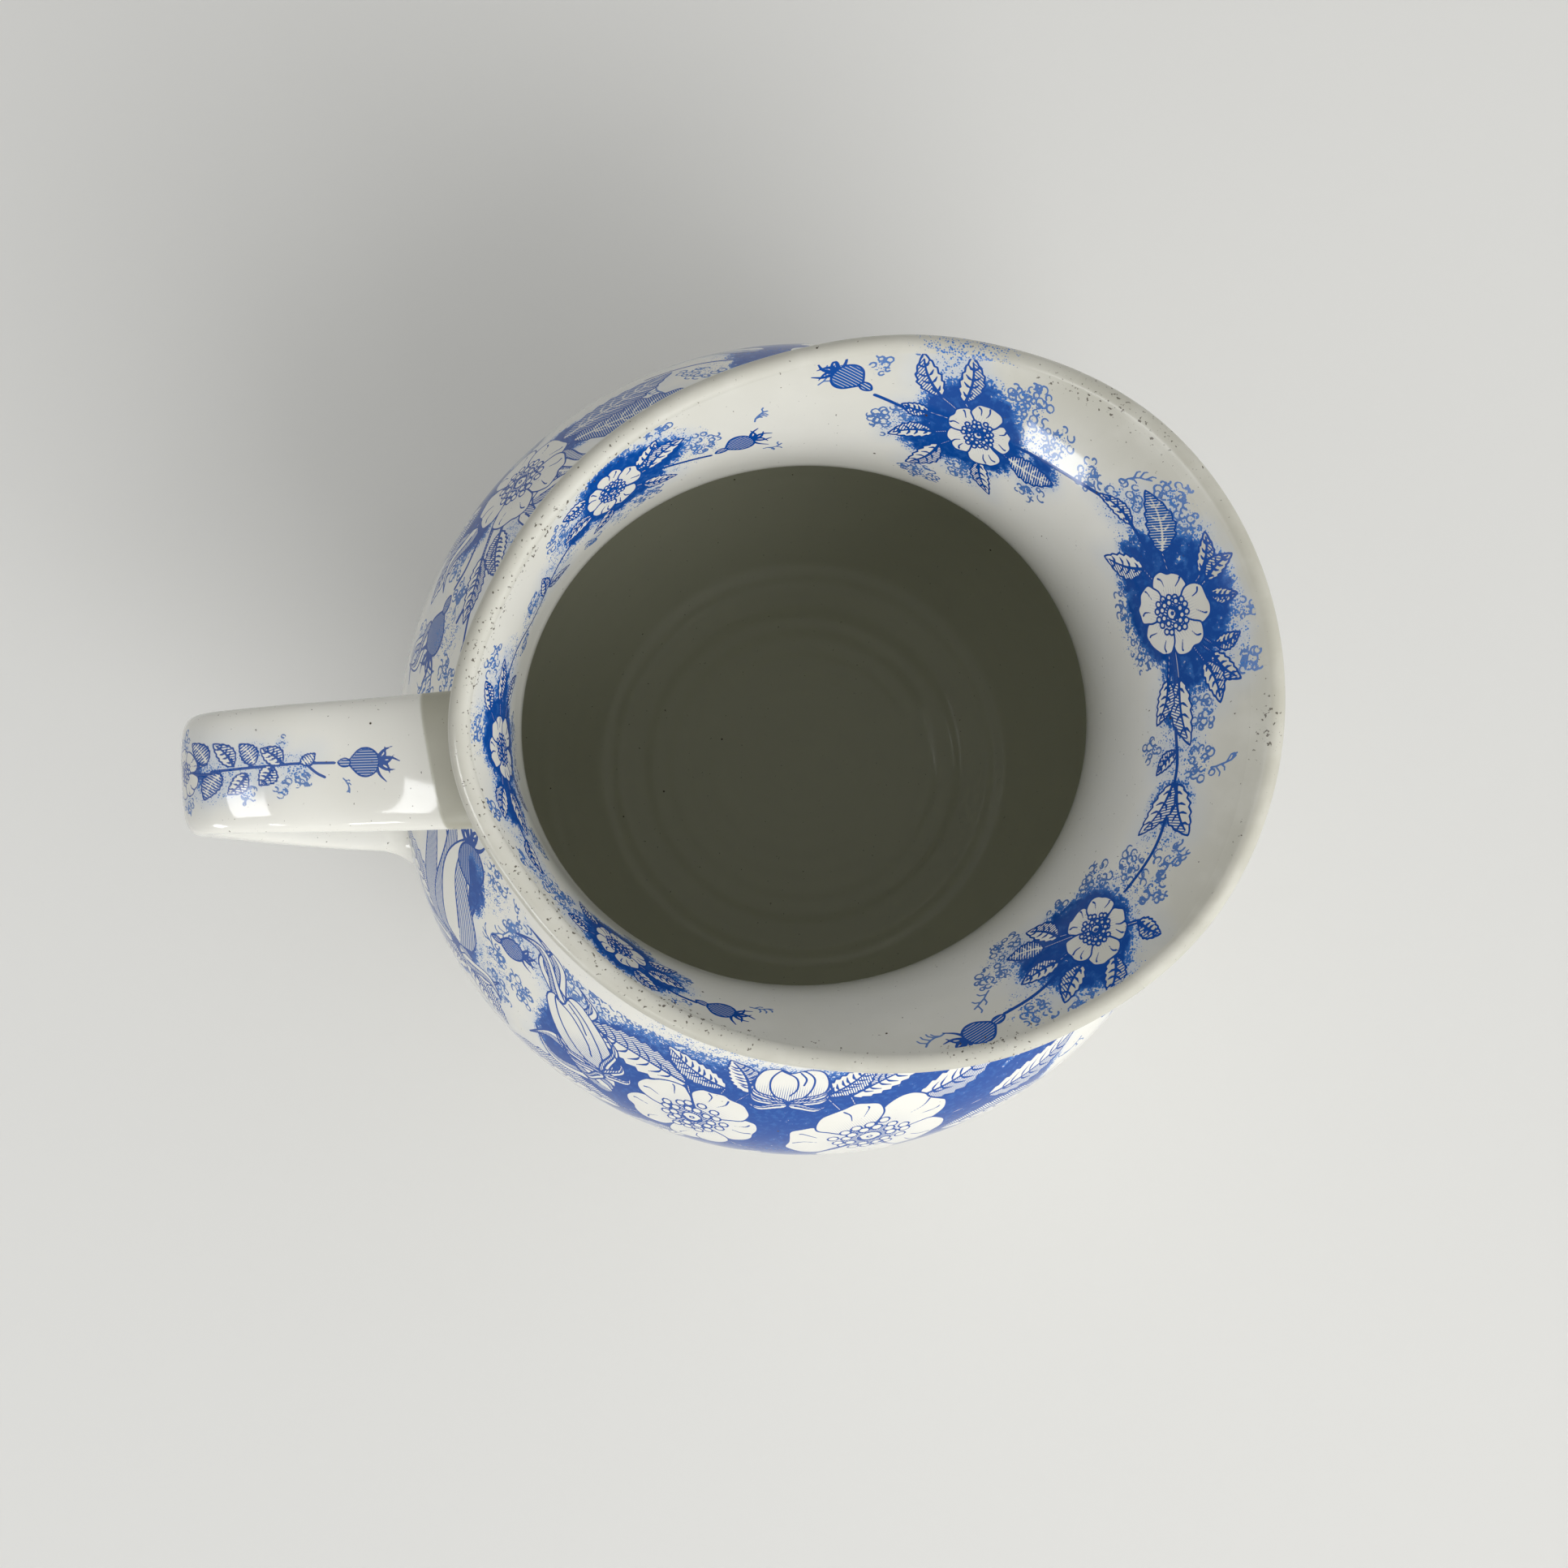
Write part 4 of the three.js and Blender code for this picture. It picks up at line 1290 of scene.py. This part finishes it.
def handle_grid():
    """The strap's surface as a grid of points, steps along it by sides round it, with how far each is
    along the strap, to its side and above its middle, in millimetres."""
    curve = catmull_rom(HANDLE_ROUTE, 80)
    place = np.linspace(0, 1, STRAP_STEPS)
    middle = even_steps(curve, STRAP_STEPS)
    along = np.gradient(middle, axis=0)
    along /= np.linalg.norm(along, axis=1, keepdims=True)
    root = np.maximum(0, 1 - np.minimum(place, 1 - place) / ROOT_LENGTH) ** 2
    thickness = STRAP_THICKNESS + (STRAP_ROOT_THICKNESS - STRAP_THICKNESS) * root
    padded = np.array([STRAP_WIDTHS[0], *STRAP_WIDTHS, STRAP_WIDTHS[-1]], float)
    width = smooth_values(padded, place * (len(STRAP_WIDTHS) - 1))

    turn = np.linspace(0, 2 * np.pi, 4 * STRAP_SIDES)
    circle = np.stack([np.cos(turn), np.sin(turn)], -1)
    half = np.array([width.mean(), STRAP_THICKNESS]) / 2
    section = np.sign(circle) * np.abs(circle) ** (2 / STRAP_ROUNDNESS) * half
    outline = even_steps(section, STRAP_SIDES + 1)[:-1] / half
    side = outline[:, 0] * width[:, None] / 2
    crown = outline[:, 1] * thickness[:, None] / 2
    up = crown[..., None] * np.stack([along[:, 1], -along[:, 0]], -1)[:, None]
    points = np.stack([middle[:, :1] + up[..., 0], -side, middle[:, 1:] + up[..., 1]], -1)
    normal = np.stack([up[..., 0], -side * (thickness / width)[:, None], up[..., 1]], -1)
    normal /= np.linalg.norm(normal, axis=-1, keepdims=True)

    skew, pivot = math.radians(-HANDLE_SKEW), (SKEW_PIVOT, 0)
    points[..., :2] = turned(points[..., :2] - pivot, skew) + pivot
    normal[..., :2] = turned(normal[..., :2], skew)
    swell = SLIP_SWELL * np.clip(1 - np.maximum(clearance(points)[0], 0) / SLIP_REACH, 0, 1) ** 2
    points += swell[..., None] * normal
    clear, angle = clearance(points)
    sunk = np.minimum(clear + ROOT_SINK, 0)
    points[..., 0] -= sunk * np.cos(angle)
    points[..., 1] -= sunk * np.sin(angle)
    return points, np.broadcast_to(place[:, None] * distances(curve)[-1], side.shape), side, crown


def handle_mesh(points, fields):
    """The strap as one closed mesh, with its fields as vertex attributes."""
    rows = points + (AXIS_X, 0, 0)
    up = np.linspace(HANDLE_MARGIN, 1 - HANDLE_MARGIN, len(rows))
    poles = [rows[0].mean(0), rows[-1].mean(0)]
    fields = {key: fields[key].ravel() for key in SURFACE}
    return tube_mesh("glazed_strap_handle", rows, up, poles, fields, flip=True)


# The rim: how far its painted grey shade, with the rougher worn glaze, and its dirt reach in from the edge,
# in millimetres, the dirt that is all round it, and the stretches that caught most, in degrees from the
# middle of the lip with their half width
RIM_SHADE_REACH = 22
DIRT_REACH = 2.4
LEAST_DIRT = 0.16
DIRTY_PLACES = ((-66, 9), (38, 12), (-8, 5), (150, 40), (-140, 45))

# Where the print runs over the rim, in degrees from the middle of the lip, its half width and tone
OVERRUN_PLACE = 60
OVERRUN_HALF = 6
OVERRUN_TONE = 1.3 * MIST_TONE


def rim_dirt(angle):
    """How much dirt the rim holds at angles in radians, up to 1."""
    most = np.zeros(angle.shape)
    for place, half in DIRTY_PLACES:
        off = np.abs((np.degrees(angle) - place + 180) % 360 - 180)
        most = np.maximum(most, np.clip(1.4 - off / half, 0, 1))
    return LEAST_DIRT + (1 - LEAST_DIRT) * most


def shade_and_soil_rim(neck, lip, inward):
    """Painted grey shade, with rougher worn glaze, and brown dirt round the rim, most of it at the lip.
    inward is how far each point of the neck's inside is from the edge."""
    neck_front, lip_front = (0.5 + 0.5 * np.cos(band.angle) for band in (neck, lip))
    # Painted shade: the glaze inside the rim is greyed, most on the lip's side
    neck.fields["shade_and_wear"] = np.clip(1 - inward / RIM_SHADE_REACH, 0, 1) * (0.2 + 0.6 * neck_front**2)
    neck.fields["dirt"] = rim_dirt(neck.angle) * np.clip(1.3 - inward / DIRT_REACH, 0, 1)
    outward = np.linspace(0, 1, LIP_ROWS)[:, None]
    # Painted shade: the lip's roll is greyed, more towards its outside and on the lip's side
    lip.fields["shade_and_wear"] = np.maximum(0.8 * lip_front, 0.45 + 0.35 * outward)
    lip.fields["dirt"] = rim_dirt(lip.angle) * np.clip(1.1 - 1.1 * outward, 0, 1)
    off = np.abs(np.degrees(lip.angle) - OVERRUN_PLACE)
    lip.fields["tone"] = OVERRUN_TONE * np.clip(1.6 - off / OVERRUN_HALF, 0, 1) * (1 - 0.5 * outward)


# How far below the shoulder the belly's ground turns solid, how far its mist runs above the shoulder,
# and the height from which, and over which, painted shade darkens the glaze inside the neck
GROUND_FADE = 12
SHOULDER_MIST = 16
INSIDE_SHADE_BELOW = 205
INSIDE_SHADE_FADE = 18


def print_body(bands):
    """Fills in the fields of the body: its print inside the neck and on the belly, the painted shade, wear
    and dirt of its rim, and the painted shade that darkens the glaze inside."""
    # Painted shade: the glaze inside the body is darkened all over, and inside the neck it darkens downwards
    # below the throat
    bands["inside"].fields["painted_shade"] = 1.0
    lower, neck, belly = (bands[name] for name in ("lower_neck_inside", "neck_inside", "belly"))
    fade = np.clip((INSIDE_SHADE_BELOW - lower.points[..., 1]) / INSIDE_SHADE_FADE, 0, 1)
    lower.fields["painted_shade"] = fade * fade * (3 - 2 * fade)
    sheet = body_sheet(neck, THROAT_ROW)
    neck.fields.update(print_sprays(sheet, NECK_SPRAYS, *NECK_PRINT))
    shade_and_soil_rim(neck, bands["lip"], sheet.along[-1:] - sheet.along)
    sheet = body_sheet(belly, 0)
    belly.fields.update(print_sprays(sheet, BELLY_SPRAYS, *BELLY_PRINT))
    tone, outside = belly.fields["tone"], bands["neck_outside"]
    tone *= np.clip(MIST_TONE + sheet.along / GROUND_FADE, 0, 1)
    above = (outside.points[..., 1] - belly.points[0, 0, 1]) / SHOULDER_MIST
    outside.fields["tone"] = tone[:1, :: PRINT_COLUMNS // NECK_COLUMNS] * np.clip(1 - above, 0, 1)


# The handle: how faint its print is, its dirt on the face and on the outer edges, and the share of
# its width past which the edges begin
HANDLE_FAINTNESS = 0.2
FACE_DIRT = 0.03
EDGE_DIRT = 0.25
EDGE_SHARE = 0.42

# Painted shade on the handle's root, under the rim: how far it reaches along the strap at its middle,
# and how much less far on each millimetre to the side
ROOT_SHADE_REACH = 24.3
ROOT_SHADE_SLANT = 0.165


def print_handle(along, side, crown):
    """The fields of the handle: the print and the painted shade at the root of its outer face, and the dirt.
    """
    outer = crown >= 0
    printed = print_sprays(Sheet(side, along, np.ones_like(along)), HANDLE_SPRAYS, *HANDLE_PRINT)
    fields = {key: np.where(outer, values, BLANK[key]) for key, values in printed.items()}
    fields["faint"] = np.full_like(along, HANDLE_FAINTNESS)
    # Painted shade: a dark band across the root next to the rim, in both the darkened and the greyed glaze
    fields["painted_shade"] = np.clip(ROOT_SHADE_REACH - ROOT_SHADE_SLANT * side - along, 0, 1) * outer
    fields["shade_and_wear"] = fields["painted_shade"]
    edge = np.abs(side) > EDGE_SHARE * np.ptp(side, axis=1)[:, None]
    fields["dirt"] = np.where(edge, EDGE_DIRT, FACE_DIRT)
    return fields


bands = body_bands()
print_body(bands)
body = body_mesh(bands)
grid, *strap_places = handle_grid()
handle = handle_mesh(grid, print_handle(*strap_places))

# Colours, as linear values
GLAZE = (0.8, 0.795, 0.745)
# Painted shade: the darkened glaze inside the body and on the handle's root
SHADE_DARKENED_GLAZE = (0.5, 0.505, 0.4)
COBALT = (0.003, 0.066, 0.33)
HATCH_BLUE = (0.009, 0.095, 0.38)
PALE_BLUE = (0.09, 0.19, 0.46)
FLOW_BLUE = (0.5, 0.58, 0.72)
CLOUDED_GLAZE = (0.7, 0.69, 0.6)
WASHED_COBALT = (0.045, 0.19, 0.55)
# Painted shade: the grey glaze at the rim and on the handle's root
SHADE_GREYED_GLAZE = (0.41, 0.4, 0.33)
DIRT = (0.06, 0.045, 0.03)

# Sizes of the print's and the glaze's texture, in millimetres
HATCH_SPACING = 0.6
STIPPLE = 0.5
BLOT_SIZE = 1.6
CLOUD_SIZE = 14
SHADE_MOTTLE_SIZE = 9
DIRT_SIZE = 0.9
WAVE_SIZE = 9
WAVE_HEIGHT = 0.4
WAVE_STRENGTH = 0.12
FLOW_REACH = 6
EDGE = 0.05
EDGE_SOFTNESS = 0.04
SPECK_SPACING = 11
SPECK_RADIUS = 0.3

# The glaze's refraction and shine, its roughness where it is clean and where it is worn, and the
# strength of a print as faint as can be
GLAZE_IOR = 1.52
GLAZE_SHINE = 0.24
CLEAN_ROUGHNESS = 0.08
WORN_ROUGHNESS = 0.42
LEAST_STRENGTH = 0.25

# How strong the clouding and the dirt can be, the strength of the blue that flowed into the glaze in
# thin and in solid ground, how blotted the ground is, and how soft the edges of the hatching are
CLOUD_STRENGTH = 0.12
DIRT_STRENGTH = 0.85
FLOW_STRENGTHS = (0.2, 0.55)
BLOT_STRENGTH = 0.22
HATCH_SOFTNESS = 0.16


class Nodes:
    """Short calls for building a material's nodes."""

    def __init__(self, tree):
        self.nodes, self.links = tree.nodes, tree.links

    def attribute(self, name):
        node = self.nodes.new("ShaderNodeAttribute")
        node.attribute_name = name
        return node.outputs["Fac"]

    def put(self, socket, value):
        if isinstance(value, bpy.types.NodeSocket):
            self.links.new(value, socket)
        else:
            socket.default_value = value

    def math(self, operation, *values):
        node = self.nodes.new("ShaderNodeMath")
        node.operation = operation
        for socket, value in zip(node.inputs, values):
            self.put(socket, value)
        return node.outputs[0]

    def times(self, first, second):
        return self.math("MULTIPLY", first, second)

    def span(self, value, low, high, out_low=0.0, out_high=1.0):
        """A value eased from low to high into the range out_low to out_high."""
        node = self.nodes.new("ShaderNodeMapRange")
        node.interpolation_type = "SMOOTHSTEP"
        for socket, number in zip(node.inputs, (value, low, high, out_low, out_high)):
            self.put(socket, number)
        return node.outputs[0]

    def ink(self, name):
        """Whether a place is in the ink of an attribute that holds the distance from it."""
        return self.span(self.attribute(name), EDGE + EDGE_SOFTNESS, EDGE - EDGE_SOFTNESS)

    def mix(self, factor, first, second):
        node = self.nodes.new("ShaderNodeMix")
        node.data_type = "RGBA"
        self.put(node.inputs["Factor"], factor)
        for socket, color in ((node.inputs["A"], first), (node.inputs["B"], second)):
            self.put(socket, (*color, 1) if isinstance(color, tuple) else color)
        return node.outputs["Result"]

    def texture(self, kind, size):
        """A texture node with features of a size in millimetres."""
        node = self.nodes.new(kind)
        node.inputs["Scale"].default_value = 1 / (size * MM)
        place = self.nodes.new("ShaderNodeTexCoord").outputs["Object"]
        self.put(node.inputs["Vector"], place)
        return node

    def noise(self, size, detail=2.0):
        """Noise between about 0.3 and 0.7 with features of a size in millimetres."""
        node = self.texture("ShaderNodeTexNoise", size)
        node.inputs["Detail"].default_value = detail
        return node.outputs["Fac"]

    def dots(self, size):
        """The distance from the nearest of a scatter of dots, in cells of a size in millimetres."""
        return self.texture("ShaderNodeTexVoronoi", size).outputs["Distance"]


def glaze_material(name):
    """Cobalt print under a clear glaze on white ware, with painted shade inside the body, at the rim and on
    the handle's root, a rougher worn rim, dirt and specks.
    """
    material = bpy.data.materials.new(name)
    material.use_nodes = True
    make = Nodes(material.node_tree)
    shader = make.nodes["Principled BSDF"]
    shade_and_wear, tone, cover = (make.attribute(key) for key in ("shade_and_wear", "tone", "cover"))
    strength = make.span(make.attribute("faint"), 0.0, 1.0, 1.0, LEAST_STRENGTH)

    # Clean glaze, glaze darkened by painted shade, glaze greyed by painted shade at the rim and on the
    # handle's root, and the blue that flowed round the motifs
    cloud = make.span(make.noise(CLOUD_SIZE), 0.35, 0.65)
    color = make.mix(make.times(cloud, CLOUD_STRENGTH), GLAZE, CLOUDED_GLAZE)
    color = make.mix(make.attribute("painted_shade"), color, SHADE_DARKENED_GLAZE)
    # Painted shade, mottled by noise, greys the glaze at the rim and on the handle's root
    grey_shade = make.times(shade_and_wear, make.span(make.noise(SHADE_MOTTLE_SIZE, 3.0), 0.3, 0.6, 0.8, 1.0))
    color = make.mix(grey_shade, color, SHADE_GREYED_GLAZE)
    near = make.times(make.span(cover, FLOW_REACH, 0.0), make.span(cover, -0.4, 0.2))
    flow = make.times(near, make.span(tone, 0.0, 0.3, *FLOW_STRENGTHS))
    color = make.mix(flow, color, FLOW_BLUE)

    # Hatching in the motifs, and pale lines
    wave = make.math("SINE", make.times(make.attribute("comb"), 2 * math.pi / HATCH_SPACING))
    stroke = make.math("SUBTRACT", make.attribute("shade"), make.math("MULTIPLY_ADD", wave, 0.5, 0.5))
    color = make.mix(make.times(make.span(stroke, 0.0, HATCH_SOFTNESS), strength), color, HATCH_BLUE)
    color = make.mix(make.times(make.ink("pale"), strength), color, PALE_BLUE)

    # The ground, stippled where its tone is low and blotted where it is high, and dark lines
    blot = make.span(make.noise(BLOT_SIZE, 4.0), 0.3, 0.7, -BLOT_STRENGTH, BLOT_STRENGTH)
    grain = make.math("SUBTRACT", make.math("ADD", make.times(tone, 1.2), blot), make.dots(STIPPLE))
    ground = make.times(make.span(grain, -0.12, 0.2), make.span(cover, -0.05, 0.05))
    ground = make.times(ground, make.span(tone, 0.02, 0.15))
    ink = make.mix(make.span(make.math("ADD", tone, blot), 0.35, 1.05), WASHED_COBALT, COBALT)
    color = make.mix(make.times(ground, strength), color, ink)
    color = make.mix(make.times(make.ink("line"), strength), color, COBALT)

    # Dirt and rare specks
    dirt = make.math("MULTIPLY_ADD", make.attribute("dirt"), 0.12, make.noise(DIRT_SIZE, 3.0))
    color = make.mix(make.span(dirt, 0.71, 0.77, 0.0, DIRT_STRENGTH), color, DIRT)
    size = SPECK_RADIUS / SPECK_SPACING
    color = make.mix(make.span(make.dots(SPECK_SPACING), 1.3 * size, 0.7 * size), color, DIRT)

    bump = make.nodes.new("ShaderNodeBump")
    bump.inputs["Strength"].default_value = WAVE_STRENGTH
    bump.inputs["Distance"].default_value = WAVE_HEIGHT * MM
    make.put(bump.inputs["Height"], make.noise(WAVE_SIZE, 1.0))
    surface = {
        "Base Color": color,
        "Roughness": make.span(shade_and_wear, 0.3, 1.0, CLEAN_ROUGHNESS, WORN_ROUGHNESS),
        "IOR": GLAZE_IOR,
        "Specular IOR Level": GLAZE_SHINE,
        "Normal": bump.outputs["Normal"],
    }
    for key, value in surface.items():
        make.put(shader.inputs[key], value)
    return material


glaze = glaze_material("underglaze_print_under_glaze")
body.data.materials.append(glaze)
handle.data.materials.append(glaze)

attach(body, "root")
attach(handle, "root")
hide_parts("belly", "neck_and_lip", "foot_ring")
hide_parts("handle", "upper_slip_bead", "lower_slip_bead")

# The floor of the studio, in metres
FLOOR_SIZE = 6
FLOOR_COLOR = (0.74, 0.74, 0.725)
FLOOR_ROUGHNESS = 0.6
floor_mesh = bpy.data.meshes.new("studio_floor")
h = FLOOR_SIZE / 2
floor_mesh.from_pydata([(-h, -h, 0), (h, -h, 0), (h, h, 0), (-h, h, 0)], [], [(0, 1, 2, 3)])
floor = bpy.data.objects.new("studio_floor", floor_mesh)
bpy.context.scene.collection.objects.link(floor)
floor_mesh.materials.append(bpy.data.materials.new("pale_floor"))
floor_mesh.materials[0].use_nodes = True
floor_shader = floor_mesh.materials[0].node_tree.nodes["Principled BSDF"]
floor_shader.inputs["Base Color"].default_value = (*FLOOR_COLOR, 1)
floor_shader.inputs["Roughness"].default_value = FLOOR_ROUGHNESS


def fitted_camera():
    """The camera that the photograph was taken with, over the jug."""
    data = bpy.data.cameras.new("camera")
    data.sensor_fit = "HORIZONTAL"
    data.sensor_width = SENSOR
    data.lens = SENSOR * FOCAL / PICTURE
    half = PICTURE / 2
    down = np.array([(NADIR[0] - half) / FOCAL, -(NADIR[1] - half) / FOCAL, -1.0])
    up = -down / np.linalg.norm(down)
    right = np.array([1.0, 0, 0]) - up[0] * up
    right /= np.linalg.norm(right)
    rows = Matrix([right, np.cross(up, right), up])
    turn = Matrix.Rotation(-math.radians(JUG_TURN), 3, "Z")
    place = (turn @ Vector(CAMERA_PLACE) + Vector((AXIS_X, 0, 0))) * MM
    camera = bpy.data.objects.new("camera", data)
    camera.matrix_world = Matrix.Translation(place) @ (turn @ rows).to_4x4()
    bpy.context.scene.collection.objects.link(camera)
    bpy.context.scene.camera = camera


fitted_camera()

# Lights: name, direction from the jug in degrees of azimuth and elevation, width and height in
# metres at LIGHT_DISTANCE, radiance, colour, and what they do: light the ware, shine on it, or both
LIGHT_DISTANCE = 3.2
LIGHT_TARGET = (0, 0, 0.22)
LIGHTS = (
    ("key_light", -64, 45, 2.0, 2.0, 3.7, (1, 0.99, 0.97), "light"),
    ("left_fill", 175, 13, 2.0, 1.2, 1.2, (1, 1, 1), "light"),
    ("ceiling", 0, 86, 5.0, 5.0, 0.4, (1, 1, 0.99), "light"),
    ("right_window", -46, 27, 3.0, 2.2, 1.0, (1, 0.99, 0.96), "both"),
    ("low_left_window", -145.5, 8, 0.75, 0.7, 19.0, (0.92, 0.96, 1), "shine"),
    ("high_left_window", -168, 46, 1.25, 0.8, 16.0, (0.97, 0.98, 1), "shine"),
    ("small_left_window", -125, 30, 0.5, 0.4, 15.0, (0.97, 0.98, 1), "shine"),
)


def soft_light(name, azimuth, elevation, width, height, radiance, color, work):
    """A soft rectangular light aimed at LIGHT_TARGET, from a row of LIGHTS."""
    data = bpy.data.lights.new(name, "AREA")
    data.shape = "RECTANGLE"
    data.size, data.size_y = width, height
    data.energy = radiance * math.pi * width * height
    data.color = color
    over = math.radians(elevation)
    back = np.array([*math.cos(over) * way(math.radians(azimuth)), math.sin(over)])
    side = np.cross([0, 0, 1], back)
    side /= np.linalg.norm(side)
    turn = Matrix(np.stack([side, np.cross(back, side), back], -1).tolist()).to_4x4()
    light = bpy.data.objects.new(name, data)
    light.matrix_world = Matrix.Translation(LIGHT_TARGET + LIGHT_DISTANCE * back) @ turn
    light.visible_diffuse = work != "shine"
    light.visible_glossy = work != "light"
    bpy.context.scene.collection.objects.link(light)


for row in LIGHTS:
    soft_light(*row)

# The room: bright near the horizon on the side of the windows, dim overhead and behind
ROOM_BRIGHT_SIDE = (0.32, -0.22, 0)
ROOM_BASE = 0.56
ROOM_LEAST = 0.06
ROOM_STRENGTH = 1.28
HORIZON = (1.0, 1.0, 0.99)
ZENITH = (0.36, 0.36, 0.35)


def studio_world():
    """The light of the room, without its windows."""
    world = bpy.data.worlds.new("studio")
    bpy.context.scene.world = world
    world.use_nodes = True
    make = Nodes(world.node_tree)
    background = make.nodes["Background"]
    direction = make.nodes.new("ShaderNodeTexCoord").outputs["Generated"]
    split = make.nodes.new("ShaderNodeSeparateXYZ")
    make.put(split.inputs["Vector"], direction)
    side = make.nodes.new("ShaderNodeVectorMath")
    side.operation = "DOT_PRODUCT"
    make.put(side.inputs[0], direction)
    make.put(side.inputs[1], ROOM_BRIGHT_SIDE)
    light = make.math("MAXIMUM", make.math("ADD", side.outputs["Value"], ROOM_BASE), ROOM_LEAST)
    color = make.mix(make.span(split.outputs["Z"], 0.2, 0.85), HORIZON, ZENITH)
    make.put(background.inputs["Color"], color)
    make.put(background.inputs["Strength"], make.times(light, ROOM_STRENGTH))


studio_world()
bpy.context.scene.view_settings.view_transform = "Standard"
